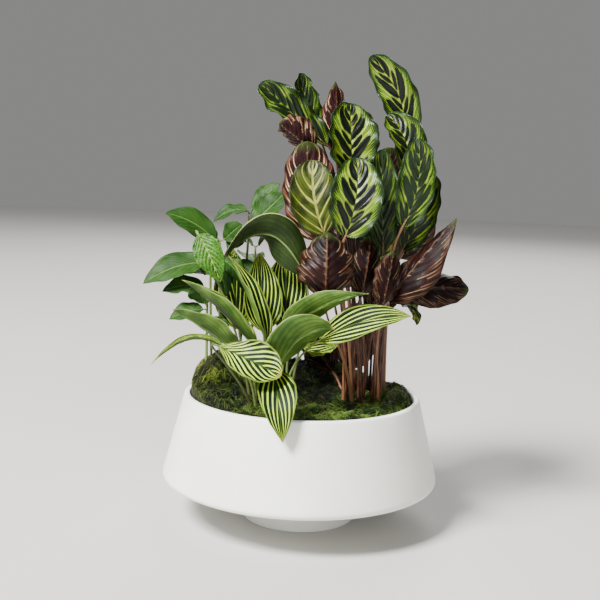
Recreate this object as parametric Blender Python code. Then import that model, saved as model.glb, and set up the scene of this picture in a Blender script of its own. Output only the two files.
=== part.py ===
"""A low white bowl planter with moss and three foliage plants.

A peacock plant stands right of centre, a striped prayer plant leans over the front rim and a plain
green plant fills the left. Z is up, the front is -Y, and the origin is the centre of the flat foot.
Lengths are written in millimetres and become metres when a mesh is made.
"""

import math
from collections import namedtuple

import bpy
import numpy as np

MM = 0.001
GAP = 0.3  # clear space where one piece touches another
HOLE_PLAY = 0.5  # how much wider a hole is than the stalk that stands in it

# Bowl
FOOT_RADIUS = 63.0
FOOT_HEIGHT = 14.0
BELLY_RADIUS = 153.0
BELLY_HEIGHT = 47.0
RIM_RADIUS = 130.5
RIM_HEIGHT = 140.0
WALL = 6.0
FLOOR = 8.0
BOWL_SIDES = 48
MIX_SIDES = 24
MOSS_SIDES = 26

# Potting mix and moss
MIX_TOP = 114.0
MOSS_EDGE = 131.0
MOSS_RINGS = 6
CROWN_DEPTH = 20.0
STEM_DEPTH = 30.0

# Leaves
BLADE_THICKNESS = 0.9
BLADE_STEPS = 7
BLADE_STRIPS = 4
SMALL_STEPS = 5
SMALL_STRIPS = 2
BLADE_FOOT_HALF = 0.9
BLADE_TIP_HALF = 0.4
WAVES_PER_BLADE = 2.0
STALK_STEPS = 4
STALK_SIDES = 5
LONGEST_LEAD = 40.0  # how far a stalk runs in line with its blade
STEM_RINGS = 7
STEM_FOOT_RADIUS = 1.9
STEM_TOP_RADIUS = 1.3
TWIG_RADIUS = 0.9
TWIG_SIDES = 3
STEM_HOLE_RADIUS = 2.6
STEM_HOLE_SIDES = 8
CROWN_SIDES = 8
SHARP_ANGLE = 50.0

# Outline of a blade: half width goes as s to the first power times (1 - s) to the second
ROUND = (0.50, 0.55)
LANCE = (0.62, 1.00)
THIN_TIP = (0.70, 1.50)
OVAL = (0.75, 0.90)
SPOON = (1.15, 0.75)

Leaf = namedtuple(
    "Leaf",
    "base tip width face bow cup twist wave foot outline",
    defaults=((0, 0, 0), 0.5, 0, 1.5, None, None),
)

# Each row: where the blade starts, where it ends, width, way that the upper side looks,
# bow of the midrib, half angle of the cupped cross-section, twist in degrees, height of the edge
# waves, where the stalk stands in the pot, and an outline other than the plant's own
PEACOCK_LEAVES = [
    Leaf((103, -2, 424), (59, -12, 509), 42, (-0.1, -1, 0.1), (20, 0, 10), 0.5, 25, 3.0, (82, 4)),
    Leaf((45, -22, 384), (40, -8, 460), 60, (0.35, -1, 0.2), (0, -16, 0), 0.6, 0, 2.0, (66, -4)),
    Leaf((39, -54, 320), (48, -40, 402), 58, (0.1, -1, 0.25), (10, -20, 0), 0.5, 0, 1.5, (56, -16)),
    Leaf((17, -48, 322), (3, -28, 398), 54, (-0.1, -1, 0.3), (-10, -12, 0), 0.5, 0, 1.5, (49, -12)),
    Leaf((11, -18, 313), (-4, -6, 418), 64, (0.1, 1, -0.1), (-6, 6, 0), 0.5, 0, 2.5, (50, -10.5)),
    Leaf((2, 6, 408), (-35, 0, 436), 46, (0.4, 1, 0.9), (-4, -4, 6), 0.8, 0, 1.5, (47, 2)),
    Leaf((18, 26, 415), (-58, 22, 480), 44, (0.2, -1, 0.6), (-6, -8, 6), 0.7, 30, 3.0, (56, 10)),
    Leaf((12, 52, 418), (-14, 50, 495), 34, (0.4, -1, 0.2), (-8, -6, 0), 1.1, 0, 1.5, (57, 12)),
    Leaf((29, 36, 408), (25, 40, 486), 38, (-0.3, 1, 0.2), (2, 6, 0), 0.7, 10, 1.5, (65, 14), LANCE),
    Leaf((106, -24, 382), (80, -12, 448), 46, (0.3, -1, 0.3), (14, -10, 14), 0.9, 0, 2.0, (83.5, 3)),
    Leaf((100, -40, 332), (112, -28, 424), 46, (-0.35, -1, 0.1), (16, -10, 0), 0.8, 0, 2.5, (79, -9)),
    Leaf((82, -22, 306), (76, -20, 412), 40, (0.1, -1, 0.1), (-2, -4, 0), 0.7, 0, 1.5, (67.5, -5)),
    Leaf((104, -10, 306), (128, 0, 392), 46, (-0.3, -1, 0.1), (14, -6, 0), 0.8, 0, 2.0, (89, 4)),
    Leaf((20, -72, 256), (20, -56, 324), 70, (0, 1, 0.1), (0, -24, 0), 0.9, 0, 4.0, (57, -17.5)),
    Leaf((58, -44, 256), (66, -38, 320), 38, (-0.3, 1, 0), (2, -18, 0), 1.0, 0, 3.0, (66, -20)),
    Leaf(
        (89, -36, 252), (156, -44, 343), 58, (0.8, 0.6, -0.3), (-6, -8, -4), 0.9, 20, 2.0, (86, -13), LANCE
    ),
    Leaf((106, -12, 258), (176, -24, 265), 44, (0.1, 0.9, -0.5), (0, -6, 8), 0.6, 0, 2.5, (90.5, 3)),
    Leaf((84, 14, 276), (74, 16, 356), 52, (0.1, -1, 0.1), (0, 4, 0), 0.5, 0, 2.0, (79, 10)),
    Leaf((108, 20, 300), (126, 22, 356), 38, (-0.4, -1, 0.1), (8, 0, 0), 0.7, 0, 1.5, (93, 14)),
    Leaf((81, -52, 248), (90, -54, 306), 32, (-0.3, 1, 0), (0, -6, 0), 0.9, 0, 2.0, (78, -10.5)),
    Leaf((96, 42, 248), (130, 44, 214), 36, (0.6, -0.4, 0.8), (12, 0, 14), 0.4, 0, 1.5, (92, 15.5)),
    Leaf((36, 62, 306), (22, 70, 386), 54, (-0.2, 1, 0.2), (-4, 16, 0), 0.5, 0, 2.0, (58, 28)),
    Leaf((80, 64, 336), (92, 66, 416), 52, (0.2, 1, 0.2), (6, 14, 0), 0.5, 0, 2.0, (74, 26)),
    Leaf((62, 84, 268), (58, 112, 328), 50, (0, 1, 0.4), (0, 18, 0), 0.5, 0, 2.0, (73, 28)),
    Leaf((108, 58, 290), (136, 66, 350), 44, (0.6, 1, 0.2), (8, 10, 0), 0.6, 0, 2.0, (87, 28)),
    Leaf((52, 48, 384), (58, 58, 456), 46, (0, 1, 0.2), (4, 8, 0), 0.6, 0, 2.0, (59.5, 27)),
    Leaf((34, 40, 158), (-8, 46, 214), 46, (0.3, 1, 0.2), (-4, 0, 6), 0.5, 0, 2.0, (48.5, 14)),
    Leaf((84, 56, 226), (98, 84, 282), 50, (0.2, 1, 0.3), (0, 8, 0), 0.5, 0, 2.0, (78, 30)),
    Leaf((60, 62, 158), (64, 86, 232), 56, (0, 1, 0.25), (0, 6, 0), 0.5, 0, 2.0, (66, 34)),
]

STRIPED_LEAVES = [
    Leaf((-30, -92, 182), (-18, -148, 123), 40, (0, -0.7, 0.7), (0, -22, 16), 0.35, 0, 1.0, (-30, -68)),
    Leaf(
        (-88, -94, 207), (-22, -120, 183), 48, (0.1, -0.8, 0.7), (0, -8, 4), 0.45, 0, 1.5, (-46, -64), SPOON
    ),
    Leaf((-85, -72, 203), (-158, -78, 182), 11, (0, -0.3, 1), (0, 0, 34), 1.2, 0, 0.5, (-47, -62.5)),
    Leaf((-70, -62, 196), (-138, -74, 240), 48, (0.5, 0.6, 0.8), (0, 0, 6), 0.6, 0, 1.0, (-48, -54)),
    Leaf(
        (-50, -56, 198), (-131, -50, 268), 50, (0.6, 0.1, 0.75), (2, 0, 12), 1.1, 0, 1.0, (-47, -52.5)
    ),
    Leaf((-40, -50, 206), (-83, -32, 293), 38, (0.8, -0.35, 0.4), (2, 0, 6), 1.2, 0, 1.0, (-40, -44)),
    Leaf(
        (-26, -80, 184), (30, -92, 228), 60, (-0.55, 0.8, 0.5), (-10, -14, 26), 0.6, 0, 1.0, (-28.5, -67)
    ),
    Leaf(
        (-22, -60, 216), (63, -104, 267), 40, (0.1, 0.7, 0.8), (0, -8, 20), 0.8, 0, 1.0, (-24, -52), THIN_TIP
    ),
    Leaf(
        (16, -80, 214), (106, -106, 246), 34, (0.05, -1, 0.6), (0, -12, 18), 0.4, 0, 1.0, (-23, -53.5)
    ),
    Leaf((-44, -26, 212), (-52, -6, 296), 46, (0.25, -1, 0.1), (0, -2, 0), 0.6, 0, 1.0, (-39, -42.5)),
    Leaf((-20, -12, 216), (-24, 8, 298), 56, (-0.2, -1, 0.1), (0, 4, 0), 0.6, 0, 1.0, (-26, -38)),
    Leaf((-3, -32, 276), (-90, -30, 288), 50, (0, 0.7, 0.7), (4, 0, 74), 0.8, 110, 1.0, (-15, -46)),
    Leaf((0, -60, 202), (36, -60, 206), 24, (0, -0.6, 0.8), (0, 0, -10), 0.8, 0, 1.0, (-14, -47.5)),
    Leaf((-30, 10, 214), (-12, 32, 294), 42, (0, 1, 0.2), (0, 8, 0), 0.6, 0, 1.0, (-27, -36.5)),
    Leaf((-74, 16, 207), (-87, 26, 301), 50, (0, -1, 0.15), (0, 4, 0), 0.5, 0, 1.0, (-37, -37)),
]

MOTTLED_LEAF = Leaf(
    (-117, -28, 315), (-91, -42, 266), 32, (-0.1, -1, 0.2), (0, -8, 8), 0.3, 0, 1.0, (-54, -44), OVAL
)

# Each stem: where it enters the pot and where it ends, then its leaves
GREEN_STEMS = {
    "green_stem_1": (
        ((-92, 10), (-97, 8, 306)),
        [
            Leaf((-101, 4, 307), (-156, -4, 335), 33, (-0.3, -0.9, 0.9), (0, 0, 12), 0.3),
            Leaf((-101, 16, 309), (-131, 35, 315), 20, (0, -0.4, 1), (0, 0, 8), 0.3),
            Leaf((-92, 4, 308), (-72, -6, 326), 24, (0, -1, 0.6), (0, 0, 2), 0.3),
            Leaf((-94, 4, 286), (-72, -6, 262), 24, (0.3, -0.8, 0.5), (4, 0, 8), 0.3),
        ],
    ),
    "green_stem_2": (
        ((-76, 30), (-66, 24, 336)),
        [
            Leaf((-68, 22, 340), (-106, 22, 326), 22, (0, -0.6, 1), (0, 0, 12), 0.3),
            Leaf((-63, 26, 342), (-33, 30, 371), 25, (-0.3, -0.8, 0.7), (0, 0, 4), 0.3),
            Leaf((-62, 16, 326), (-26, 12, 362), 36, (-0.5, -1, 0.5), (0, 0, 0), 0.3),
            Leaf((-70, 16, 310), (-87, 0, 296), 24, (-0.2, -0.8, 0.8), (0, 0, 8), 0.3),
            Leaf((-72, 18, 286), (-62, -4, 246), 28, (0.1, -1, 0.4), (2, 0, 6), 0.3),
        ],
    ),
    "green_stem_3": (
        ((-100, -6), (-106, 4, 282)),
        [
            Leaf((-110, 2, 282), (-178, -12, 258), 37, (-0.1, -0.9, 0.9), (0, 0, 14), 0.3),
            Leaf((-101, 0, 276), (-88, -10, 246), 20, (0.4, -0.9, 0.3), (6, 0, 6), 0.3),
            Leaf((-112, 12, 268), (-150, 30, 272), 30, (-0.2, -0.3, 1), (0, 0, 12), 0.3),
            Leaf((-104, -8, 222), (-86, -24, 196), 26, (0.2, -1, 0.5), (0, 0, 6), 0.3),
        ],
    ),
    "green_stem_4": (
        ((-106, -14), (-108, -6, 254)),
        [
            Leaf((-112, -4, 254), (-158, -4, 249), 30, (0, -0.7, 1), (0, 0, 10), 0.3),
            Leaf((-110, -12, 238), (-120, -26, 262), 28, (-0.5, -1, 0.3), (0, 0, 0), 0.3),
            Leaf((-112, -10, 232), (-148, -16, 220), 26, (0, -0.7, 1), (0, 0, 6), 0.3),
        ],
    ),
    "green_stem_5": (
        ((-62, 56), (-60, 66, 296)),
        [
            Leaf((-63, 68, 298), (-96, 84, 318), 30, (0, 0.4, 1), (0, 0, 12), 0.3),
            Leaf((-57, 68, 298), (-26, 84, 322), 30, (0, 0.4, 1), (0, 0, 12), 0.3),
            Leaf((-60, 70, 276), (-74, 116, 278), 34, (0, 0.3, 1), (0, 0, 16), 0.3),
            Leaf((-62, 64, 256), (-104, 66, 256), 32, (0, 0.2, 1), (0, 0, 14), 0.3),
            Leaf((-58, 66, 246), (-30, 100, 246), 32, (0, 0.2, 1), (0, 0, 14), 0.3),
        ],
    ),
}


def unit(vectors):
    return vectors / np.linalg.norm(vectors, axis=-1, keepdims=True)


def bezier(p0, p1, p2, p3, s):
    """Points and directions of the cubic curve with these four handles at each s."""
    s = s[:, None]
    r = 1 - s
    points = r**3 * p0 + 3 * r * r * s * p1 + 3 * r * s * s * p2 + s**3 * p3
    slopes = r * r * (p1 - p0) + 2 * r * s * (p2 - p1) + s * s * (p3 - p2)
    return points, unit(slopes)


def midrib(leaf, s):
    """The quadratic curve from base to tip whose handle is the chord's middle moved by the bow."""
    base, tip = np.array(leaf.base, float), np.array(leaf.tip, float)
    handle = (base + tip) / 2 + np.array(leaf.bow, float)
    s = s[:, None]
    points = (1 - s) ** 2 * base + 2 * s * (1 - s) * handle + s * s * tip
    slopes = (1 - s) * (handle - base) + s * (tip - handle)
    return points, unit(slopes)


def half_widths(leaf, shape, s):
    """The blade's outline, with a blunt start as wide as its stalk and a narrow blunt tip."""
    rise, fall = leaf.outline or shape
    peak = rise / (rise + fall)
    outline = s**rise * (1 - s) ** fall / (peak**rise * (1 - peak) ** fall)
    blunt = BLADE_FOOT_HALF + (BLADE_TIP_HALF - BLADE_FOOT_HALF) * s
    return np.hypot(leaf.width / 2 * outline, blunt)


def blade_points(leaf, shape, s, t):
    """Points of the blade's middle surface, s along the midrib and t across from -1 to 1.

    Each cross-section is an arc that opens to the upper side, turned about the midrib by the twist,
    and the edges rise and fall in waves that grow with the square of t.
    """
    spine, ahead = midrib(leaf, s)
    side = unit(np.cross(ahead, np.array(leaf.face, float)))
    up = np.cross(side, ahead)
    turn = np.radians(leaf.twist) * (s - 0.5)[:, None]
    side, up = side * np.cos(turn) + up * np.sin(turn), up * np.cos(turn) - side * np.sin(turn)
    half = half_widths(leaf, shape, s)[:, None]
    across = half * np.sin(leaf.cup * t) / leaf.cup
    lift = half * (1 - np.cos(leaf.cup * t)) / leaf.cup
    wave = np.sin(2 * np.pi * WAVES_PER_BLADE * s[:, None] + np.where(t < 0, 2.0, 0.4))
    lift = lift + leaf.wave * wave * t * t * half / half.max()
    return spine[:, None] + across[..., None] * side[:, None] + lift[..., None] * up[:, None]


def surface_normals(points):
    along = np.gradient(points, axis=0)
    across = np.gradient(points, axis=1)
    return unit(np.cross(across, along))


def steps_along(count):
    """Places from 0 to 1, closer together at both ends."""
    even = np.linspace(0, 1, count + 1)
    return 0.4 * even + 0.3 * (1 - np.cos(np.pi * even))


def quad_halves(a, b, c, d):
    """The triangles of a grid of four-cornered cells."""
    return np.stack([np.stack([a, b, c], -1), np.stack([a, c, d], -1)]).reshape(-1, 3)


def blade_shell(leaf, shape, steps, strips):
    """Vertices and triangles of a closed blade, split alike on both faces."""
    s = steps_along(steps)
    t = np.linspace(-1, 1, strips + 1)
    middle = blade_points(leaf, shape, s, t)
    normals = surface_normals(middle)
    offset = normals * BLADE_THICKNESS / 2
    vertices = np.stack([middle + offset, middle - offset]).reshape(-1, 3)
    rows, columns = steps + 1, strips + 1
    index = np.arange(rows * columns).reshape(rows, columns)
    upper = quad_halves(index[:-1, :-1], index[:-1, 1:], index[1:, 1:], index[1:, :-1])
    lower = upper[:, ::-1] + rows * columns
    loop = np.concatenate([index[0, :-1], index[:-1, -1], index[-1, :0:-1], index[:0:-1, 0]])
    ahead = np.roll(loop, -1)
    below = loop + rows * columns
    rim = np.concatenate([
        np.stack([loop, below, ahead + rows * columns], -1),
        np.stack([loop, ahead + rows * columns, ahead], -1),
    ])
    return vertices, np.concatenate([upper, lower, rim])


def tube(centres, directions, radii, sides):
    """Vertices and triangles of a closed round tube carried along a path."""
    reference = np.array([0.31, 0.95, 0.05])
    right = unit(np.cross(directions, reference))
    front = np.cross(right, directions)
    angle = np.arange(sides) * 2 * np.pi / sides
    cosine, sine = np.cos(angle)[None, :, None], np.sin(angle)[None, :, None]
    ring = cosine * right[:, None] + sine * front[:, None]
    vertices = (centres[:, None] + radii[:, None, None] * ring).reshape(-1, 3)
    index = np.arange(len(vertices)).reshape(len(centres), sides)
    following = np.roll(index, -1, axis=1)
    walls = quad_halves(index[:-1], index[1:], following[1:], following[:-1])
    fan = np.arange(1, sides - 1)
    first = np.stack([0 * fan, fan, fan + 1], -1)
    last = np.stack([0 * fan, fan + 1, fan], -1) + index[-1, 0]
    return vertices, np.concatenate([walls, first, last])


def stalk_path(leaf, floor):
    """A stalk's curve: it rises from its foot and comes in along the blade's own direction."""
    base = np.array(leaf.base, float)
    _, start = midrib(leaf, np.array([0.0]))
    foot = np.array([*leaf.foot, floor], float)
    reach = np.linalg.norm(base - foot)
    end = base - GAP * start[0]
    rise = foot + np.array([0, 0, 0.5 * reach])
    near = end - start[0] * min(0.3 * reach, LONGEST_LEAD)
    return foot, rise, near, end


def stalk_tube(leaf, floor, foot_radius, top_radius):
    s = np.linspace(0, 1, STALK_STEPS + 1)
    centres, directions = bezier(*stalk_path(leaf, floor), s)
    radii = foot_radius + (top_radius - foot_radius) * s
    return tube(centres, directions, radii, STALK_SIDES)


def make_material(name, colour, roughness):
    material = bpy.data.materials.new(name)
    material.use_nodes = True
    shader = material.node_tree.nodes["Principled BSDF"]
    shader.inputs["Base Color"].default_value = (*colour, 1)
    shader.inputs["Roughness"].default_value = roughness
    shader.inputs["Metallic"].default_value = 0
    material.diffuse_color = (*colour, 1)
    return material


def make_object(name, vertices, faces, material, smooth=True):
    mesh = bpy.data.meshes.new(name)
    mesh.from_pydata((vertices * MM).tolist(), [], [list(map(int, face)) for face in faces])
    mesh.materials.append(material)
    if smooth:
        mesh.shade_smooth()
        mesh.set_sharp_from_angle(angle=math.radians(SHARP_ANGLE))
    made = bpy.data.objects.new(name, mesh)
    bpy.context.scene.collection.objects.link(made)
    return made


def combine(target, others, operation):
    """Joins the other objects to the target, or cuts them from it, in one Boolean."""
    group = bpy.data.collections.new(target.name + "_" + operation.lower())
    bpy.context.scene.collection.children.link(group)
    for other in others:
        group.objects.link(other)
    boolean = target.modifiers.new(operation.title(), "BOOLEAN")
    boolean.operation = operation
    boolean.operand_type = "COLLECTION"
    boolean.collection = group
    boolean.solver = "MANIFOLD"
    bpy.context.view_layer.objects.active = target
    bpy.ops.object.modifier_apply(modifier=boolean.name)
    for other in others:
        bpy.data.objects.remove(other)
    bpy.data.collections.remove(group)


def turned(profile, sides):
    """Vertices and faces of an outline of radius and height turned about Z, closed on the axis."""
    profile = np.array(profile, float)
    angle = np.arange(sides) * 2 * np.pi / sides
    body = profile[1:-1]
    x = body[:, 0, None] * np.cos(angle)
    y = body[:, 0, None] * np.sin(angle)
    z = np.repeat(body[:, 1, None], sides, axis=1)
    centres = [[0, 0, profile[0, 1]], [0, 0, profile[-1, 1]]]
    vertices = np.concatenate([np.stack([x, y, z], -1).reshape(-1, 3), centres])
    index = np.arange(len(body) * sides).reshape(len(body), sides)
    following = np.roll(index, -1, axis=1)
    a, b, c, d = index[:-1], following[:-1], following[1:], index[1:]
    walls = np.stack([a, b, c, d], -1).reshape(-1, 4).tolist()
    start, end = len(vertices) - 2, len(vertices) - 1
    bottom = np.stack([np.full(sides, start), following[0], index[0]], -1).tolist()
    top = np.stack([np.full(sides, end), index[-1], following[-1]], -1).tolist()
    return vertices, walls + bottom + top


def inner_profile(clear):
    """The hollow of the bowl from its middle up to the rim, kept this far inside the wall."""
    slope = (BELLY_RADIUS - RIM_RADIUS) / (RIM_HEIGHT - BELLY_HEIGHT)
    inside = BELLY_RADIUS - WALL - clear
    return [
        (0, FLOOR + clear),
        (FOOT_RADIUS - 14 - clear, FLOOR + clear),
        (FOOT_RADIUS - 4 - clear, FLOOR + 12 + clear),
        (124 - clear, 39 + clear),
        (inside - 4, BELLY_HEIGHT - 1 + clear),
        (inside - slope * (MIX_TOP - BELLY_HEIGHT), MIX_TOP),
        (inside - slope * (RIM_HEIGHT - 6 - BELLY_HEIGHT), RIM_HEIGHT - 6),
    ]


def wall_radius(height, clear):
    slope = (BELLY_RADIUS - RIM_RADIUS) / (RIM_HEIGHT - BELLY_HEIGHT)
    return BELLY_RADIUS - WALL - clear - slope * (height - BELLY_HEIGHT)


def make_bowl(material):
    outer = [
        (0, 0),
        (FOOT_RADIUS - 1.5, 0),
        (FOOT_RADIUS, 1.5),
        (FOOT_RADIUS, FOOT_HEIGHT - 1),
        (FOOT_RADIUS + 3, FOOT_HEIGHT + 1.5),
        (124, 32),
        (BELLY_RADIUS - 9, BELLY_HEIGHT - 9.5),
        (BELLY_RADIUS - 2.5, BELLY_HEIGHT - 5),
        (BELLY_RADIUS, BELLY_HEIGHT),
        (RIM_RADIUS + 1, RIM_HEIGHT - 4),
        (RIM_RADIUS - 0.8, RIM_HEIGHT - 1.2),
        (RIM_RADIUS - 2.6, RIM_HEIGHT),
        (RIM_RADIUS - 4.4, RIM_HEIGHT - 0.4),
        (RIM_RADIUS - WALL + 0.3, RIM_HEIGHT - 2.4),
    ]
    vertices, faces = turned(outer + inner_profile(0)[::-1], BOWL_SIDES)
    return make_object("bowl", vertices, faces, material)


def make_mix(material):
    profile = inner_profile(GAP)[:-1]
    vertices, faces = turned(profile + [(0, MIX_TOP)], MIX_SIDES)
    return make_object("potting_mix", vertices, faces, material)


def moss_height(x, y):
    """A cushion with a mound at the left, a rise at the right rim and low lumps all over."""
    mound = 46 * np.exp(-(((x + 94) / 36) ** 2) - ((y - 2) / 70) ** 2)
    right = 12 * np.exp(-(((x - 108) / 22) ** 2) - ((y - 10) / 60) ** 2)
    back = 26 * np.exp(-(((x - 10) / 80) ** 2) - ((y - 88) / 46) ** 2)
    lumps = 2.2 * np.sin(x / 11 + 0.5) * np.sin(y / 9 + 1.0) + 1.4 * np.sin((x + y) / 6.5)
    return MOSS_EDGE + mound + right + back + lumps


def make_moss(material):
    """A polar grid raised by the formula, level underneath and upright beside the wall."""
    reach = np.linspace(0, 1, MOSS_RINGS + 1)[1:] ** 0.8
    angle = np.arange(MOSS_SIDES) * 2 * np.pi / MOSS_SIDES
    edge = wall_radius(RIM_HEIGHT, 2 * GAP)
    x = edge * reach[:, None] * np.cos(angle)
    y = edge * reach[:, None] * np.sin(angle)
    top = moss_height(x, y)
    top[-1] = np.minimum(top[-1], top[-2] - 3)
    top_points = np.stack([x, y, top], -1).reshape(-1, 3)
    floor = MIX_TOP + GAP
    bottom_points = np.stack([x[-1], y[-1], np.full(MOSS_SIDES, floor)], -1)
    centre = np.array([[0, 0, moss_height(0.0, 0.0)], [0, 0, floor]])
    vertices = np.concatenate([top_points, bottom_points, centre])
    index = np.arange((MOSS_RINGS + 1) * MOSS_SIDES).reshape(MOSS_RINGS + 1, MOSS_SIDES)
    following = np.roll(index, -1, axis=1)
    grid = quad_halves(index[:-1], index[1:], following[1:], following[:-1])
    hub_top, hub_bottom = len(vertices) - 2, len(vertices) - 1
    cap = np.stack([np.full(MOSS_SIDES, hub_top), index[0], following[0]], -1)
    base = np.stack([np.full(MOSS_SIDES, hub_bottom), following[-1], index[-1]], -1)
    return make_object("moss", vertices, np.concatenate([grid, cap, base]), material, smooth=False)


def oval_post(name, centre, radii, bottom, top, sides, material):
    """A short upright post of oval section."""
    angle = np.arange(sides) * 2 * np.pi / sides
    ring = np.stack([centre[0] + radii[0] * np.cos(angle), centre[1] + radii[1] * np.sin(angle)], -1)
    low = np.c_[ring, np.full(sides, bottom)]
    high = np.c_[ring, np.full(sides, top)]
    index = np.arange(sides)
    following = np.roll(index, -1)
    walls = np.stack([index, following, following + sides, index + sides], -1).tolist()
    caps = [index[::-1].tolist(), (index + sides).tolist()]
    return make_object(name, np.concatenate([low, high]), walls + caps, material, smooth=False)


def make_blades(name, leaves, outline, material):
    for number, leaf in enumerate(leaves, start=1):
        shell = blade_shell(leaf, outline, BLADE_STEPS, BLADE_STRIPS)
        make_object(f"{name}_{number:02d}", *shell, material)


Crown = namedtuple("Crown", "centre radii foot_radius top_radius")
PEACOCK_CROWN = Crown((70, 4), (32, 37), 1.7, 1.1)
STRIPED_CROWN = Crown((-35, -54), (29, 24), 1.5, 1.0)


def make_clump(name, leaves, crown, material, cutters):
    """All the stalks of one plant, grown together at a crown sunk in the mix."""
    floor = MIX_TOP - GAP - CROWN_DEPTH / 2
    bottom = floor - CROWN_DEPTH / 2
    body = oval_post(name, crown.centre, crown.radii, bottom, MIX_TOP - GAP, CROWN_SIDES, material)
    stalks = []
    for leaf in leaves:
        vertices, faces = stalk_tube(leaf, floor, crown.foot_radius, crown.top_radius)
        stalks.append(make_object("stalk", vertices, faces, material))
        wide = (crown.foot_radius + HOLE_PLAY, crown.top_radius + HOLE_PLAY)
        cutters["moss"].append(make_object("stalk_hole", *stalk_tube(leaf, floor, *wide), material))
    combine(body, stalks, "UNION")
    wide = (crown.radii[0] + HOLE_PLAY, crown.radii[1] + HOLE_PLAY)
    bottom = bottom - GAP
    hole = oval_post("crown_hole", crown.centre, wide, bottom, MIX_TOP + 5, CROWN_SIDES, material)
    cutters["mix"].append(hole)
    return body


def make_green_stem(name, stem, leaves, material, cutters):
    """One leafy stem: a thin upright stem with its leaves grown to it by short stalks."""
    foot, apex = stem
    low = np.array([*foot, MIX_TOP - STEM_DEPTH], float)
    high = np.array(apex, float)
    s = np.linspace(0, 1, STEM_RINGS)
    path = bezier(low, low + (0, 0, 70), high - (0, 0, 60), high, s)
    radii = STEM_FOOT_RADIUS + (STEM_TOP_RADIUS - STEM_FOOT_RADIUS) * s
    vertices, faces = tube(*path, radii, STALK_SIDES)
    body = make_object(name, vertices, faces, material)
    pieces = []
    for leaf in leaves:
        vertices, faces = blade_shell(leaf, OVAL, SMALL_STEPS, SMALL_STRIPS)
        pieces.append(make_object("blade", vertices, faces, material))
        base = np.array(leaf.base, float)
        nearest = path[0][np.argmin(np.linalg.norm(path[0] - base, axis=1))]
        _, ahead = midrib(leaf, np.array([0.0, 0.1]))
        inside = base + ahead[0] * 2
        twig = np.stack([nearest, (nearest + base) / 2, inside])
        way = unit(np.stack([twig[1] - twig[0], twig[2] - twig[0], ahead[0]]))
        vertices, faces = tube(twig, way, np.full(3, TWIG_RADIUS), TWIG_SIDES)
        pieces.append(make_object("twig", vertices, faces, material))
    combine(body, pieces, "UNION")
    vertices, faces = tube(*path, radii + HOLE_PLAY, STALK_SIDES)
    cutters["moss"].append(make_object("stem_hole", vertices, faces, material))
    wide = (STEM_HOLE_RADIUS, STEM_HOLE_RADIUS)
    bottom = MIX_TOP - STEM_DEPTH - GAP
    hole = oval_post("stem_hole", foot, wide, bottom, MIX_TOP + 5, STEM_HOLE_SIDES, material)
    cutters["mix"].append(hole)
    return body


def clear_scene():
    for existing in list(bpy.data.objects):
        bpy.data.objects.remove(existing)


def main():
    clear_scene()
    ceramic = make_material("matte_white_ceramic", (0.83, 0.83, 0.80), 0.45)
    peat = make_material("potting_mix", (0.05, 0.035, 0.025), 0.95)
    green_moss = make_material("sheet_moss", (0.10, 0.16, 0.04), 0.9)
    peacock = make_material("peacock_blade", (0.12, 0.25, 0.06), 0.3)
    maroon_stalk = make_material("brown_stalk", (0.20, 0.09, 0.05), 0.45)
    striped = make_material("striped_blade", (0.35, 0.50, 0.14), 0.35)
    pale_stalk = make_material("green_stalk", (0.22, 0.32, 0.10), 0.45)
    plain = make_material("green_blade", (0.06, 0.17, 0.03), 0.35)

    make_bowl(ceramic)
    mix = make_mix(peat)
    moss = make_moss(green_moss)
    cutters = {"moss": [], "mix": []}
    make_blades("peacock_leaf", PEACOCK_LEAVES, ROUND, peacock)
    make_blades("striped_leaf", STRIPED_LEAVES, LANCE, striped)
    make_object("mottled_leaf", *blade_shell(MOTTLED_LEAF, OVAL, BLADE_STEPS, BLADE_STRIPS), striped)
    make_clump("peacock_stalks", PEACOCK_LEAVES, PEACOCK_CROWN, maroon_stalk, cutters)
    make_clump("striped_stalks", [*STRIPED_LEAVES, MOTTLED_LEAF], STRIPED_CROWN, pale_stalk, cutters)
    for name, (stem, leaves) in GREEN_STEMS.items():
        make_green_stem(name, stem, leaves, plain, cutters)
    combine(moss, cutters["moss"], "DIFFERENCE")
    combine(mix, cutters["mix"], "DIFFERENCE")


main()
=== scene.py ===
"""The looks of a low white bowl planter with moss and three foliage plants.

A peacock plant stands right of centre, a striped prayer plant leans over the front rim and a plain
green plant fills the left. Every blade, stalk and strand of moss is a surface worked out from a
formula, in millimetres in the frame of the solids, and becomes metres when its mesh is made.
"""

import math
from collections import namedtuple

import bpy
import numpy as np
from mathutils import Matrix, Vector


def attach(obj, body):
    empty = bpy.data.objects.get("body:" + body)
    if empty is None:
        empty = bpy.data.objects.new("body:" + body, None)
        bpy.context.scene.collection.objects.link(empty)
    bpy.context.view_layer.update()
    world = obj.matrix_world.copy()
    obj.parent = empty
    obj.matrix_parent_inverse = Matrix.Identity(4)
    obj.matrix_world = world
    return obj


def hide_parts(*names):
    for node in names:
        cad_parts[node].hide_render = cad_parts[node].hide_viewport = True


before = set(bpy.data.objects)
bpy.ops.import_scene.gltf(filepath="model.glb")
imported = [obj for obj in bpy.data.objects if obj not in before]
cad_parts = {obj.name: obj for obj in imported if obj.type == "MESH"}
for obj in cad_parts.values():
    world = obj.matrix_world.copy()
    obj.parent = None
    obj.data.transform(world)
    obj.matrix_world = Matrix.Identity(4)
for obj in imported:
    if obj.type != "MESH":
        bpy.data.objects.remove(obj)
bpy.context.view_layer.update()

MM = 0.001

# Bowl, as the solids have it but for a belly edge 5 mm higher
FOOT_RADIUS = 63.0
FOOT_HEIGHT = 14.0
BELLY_RADIUS = 153.0
BELLY_HEIGHT = 52.0
RIM_RADIUS = 130.5
RIM_HEIGHT = 140.0
WALL = 6.0
FLOOR = 8.0
BOWL_STEPS_ROUND = 180

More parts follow.
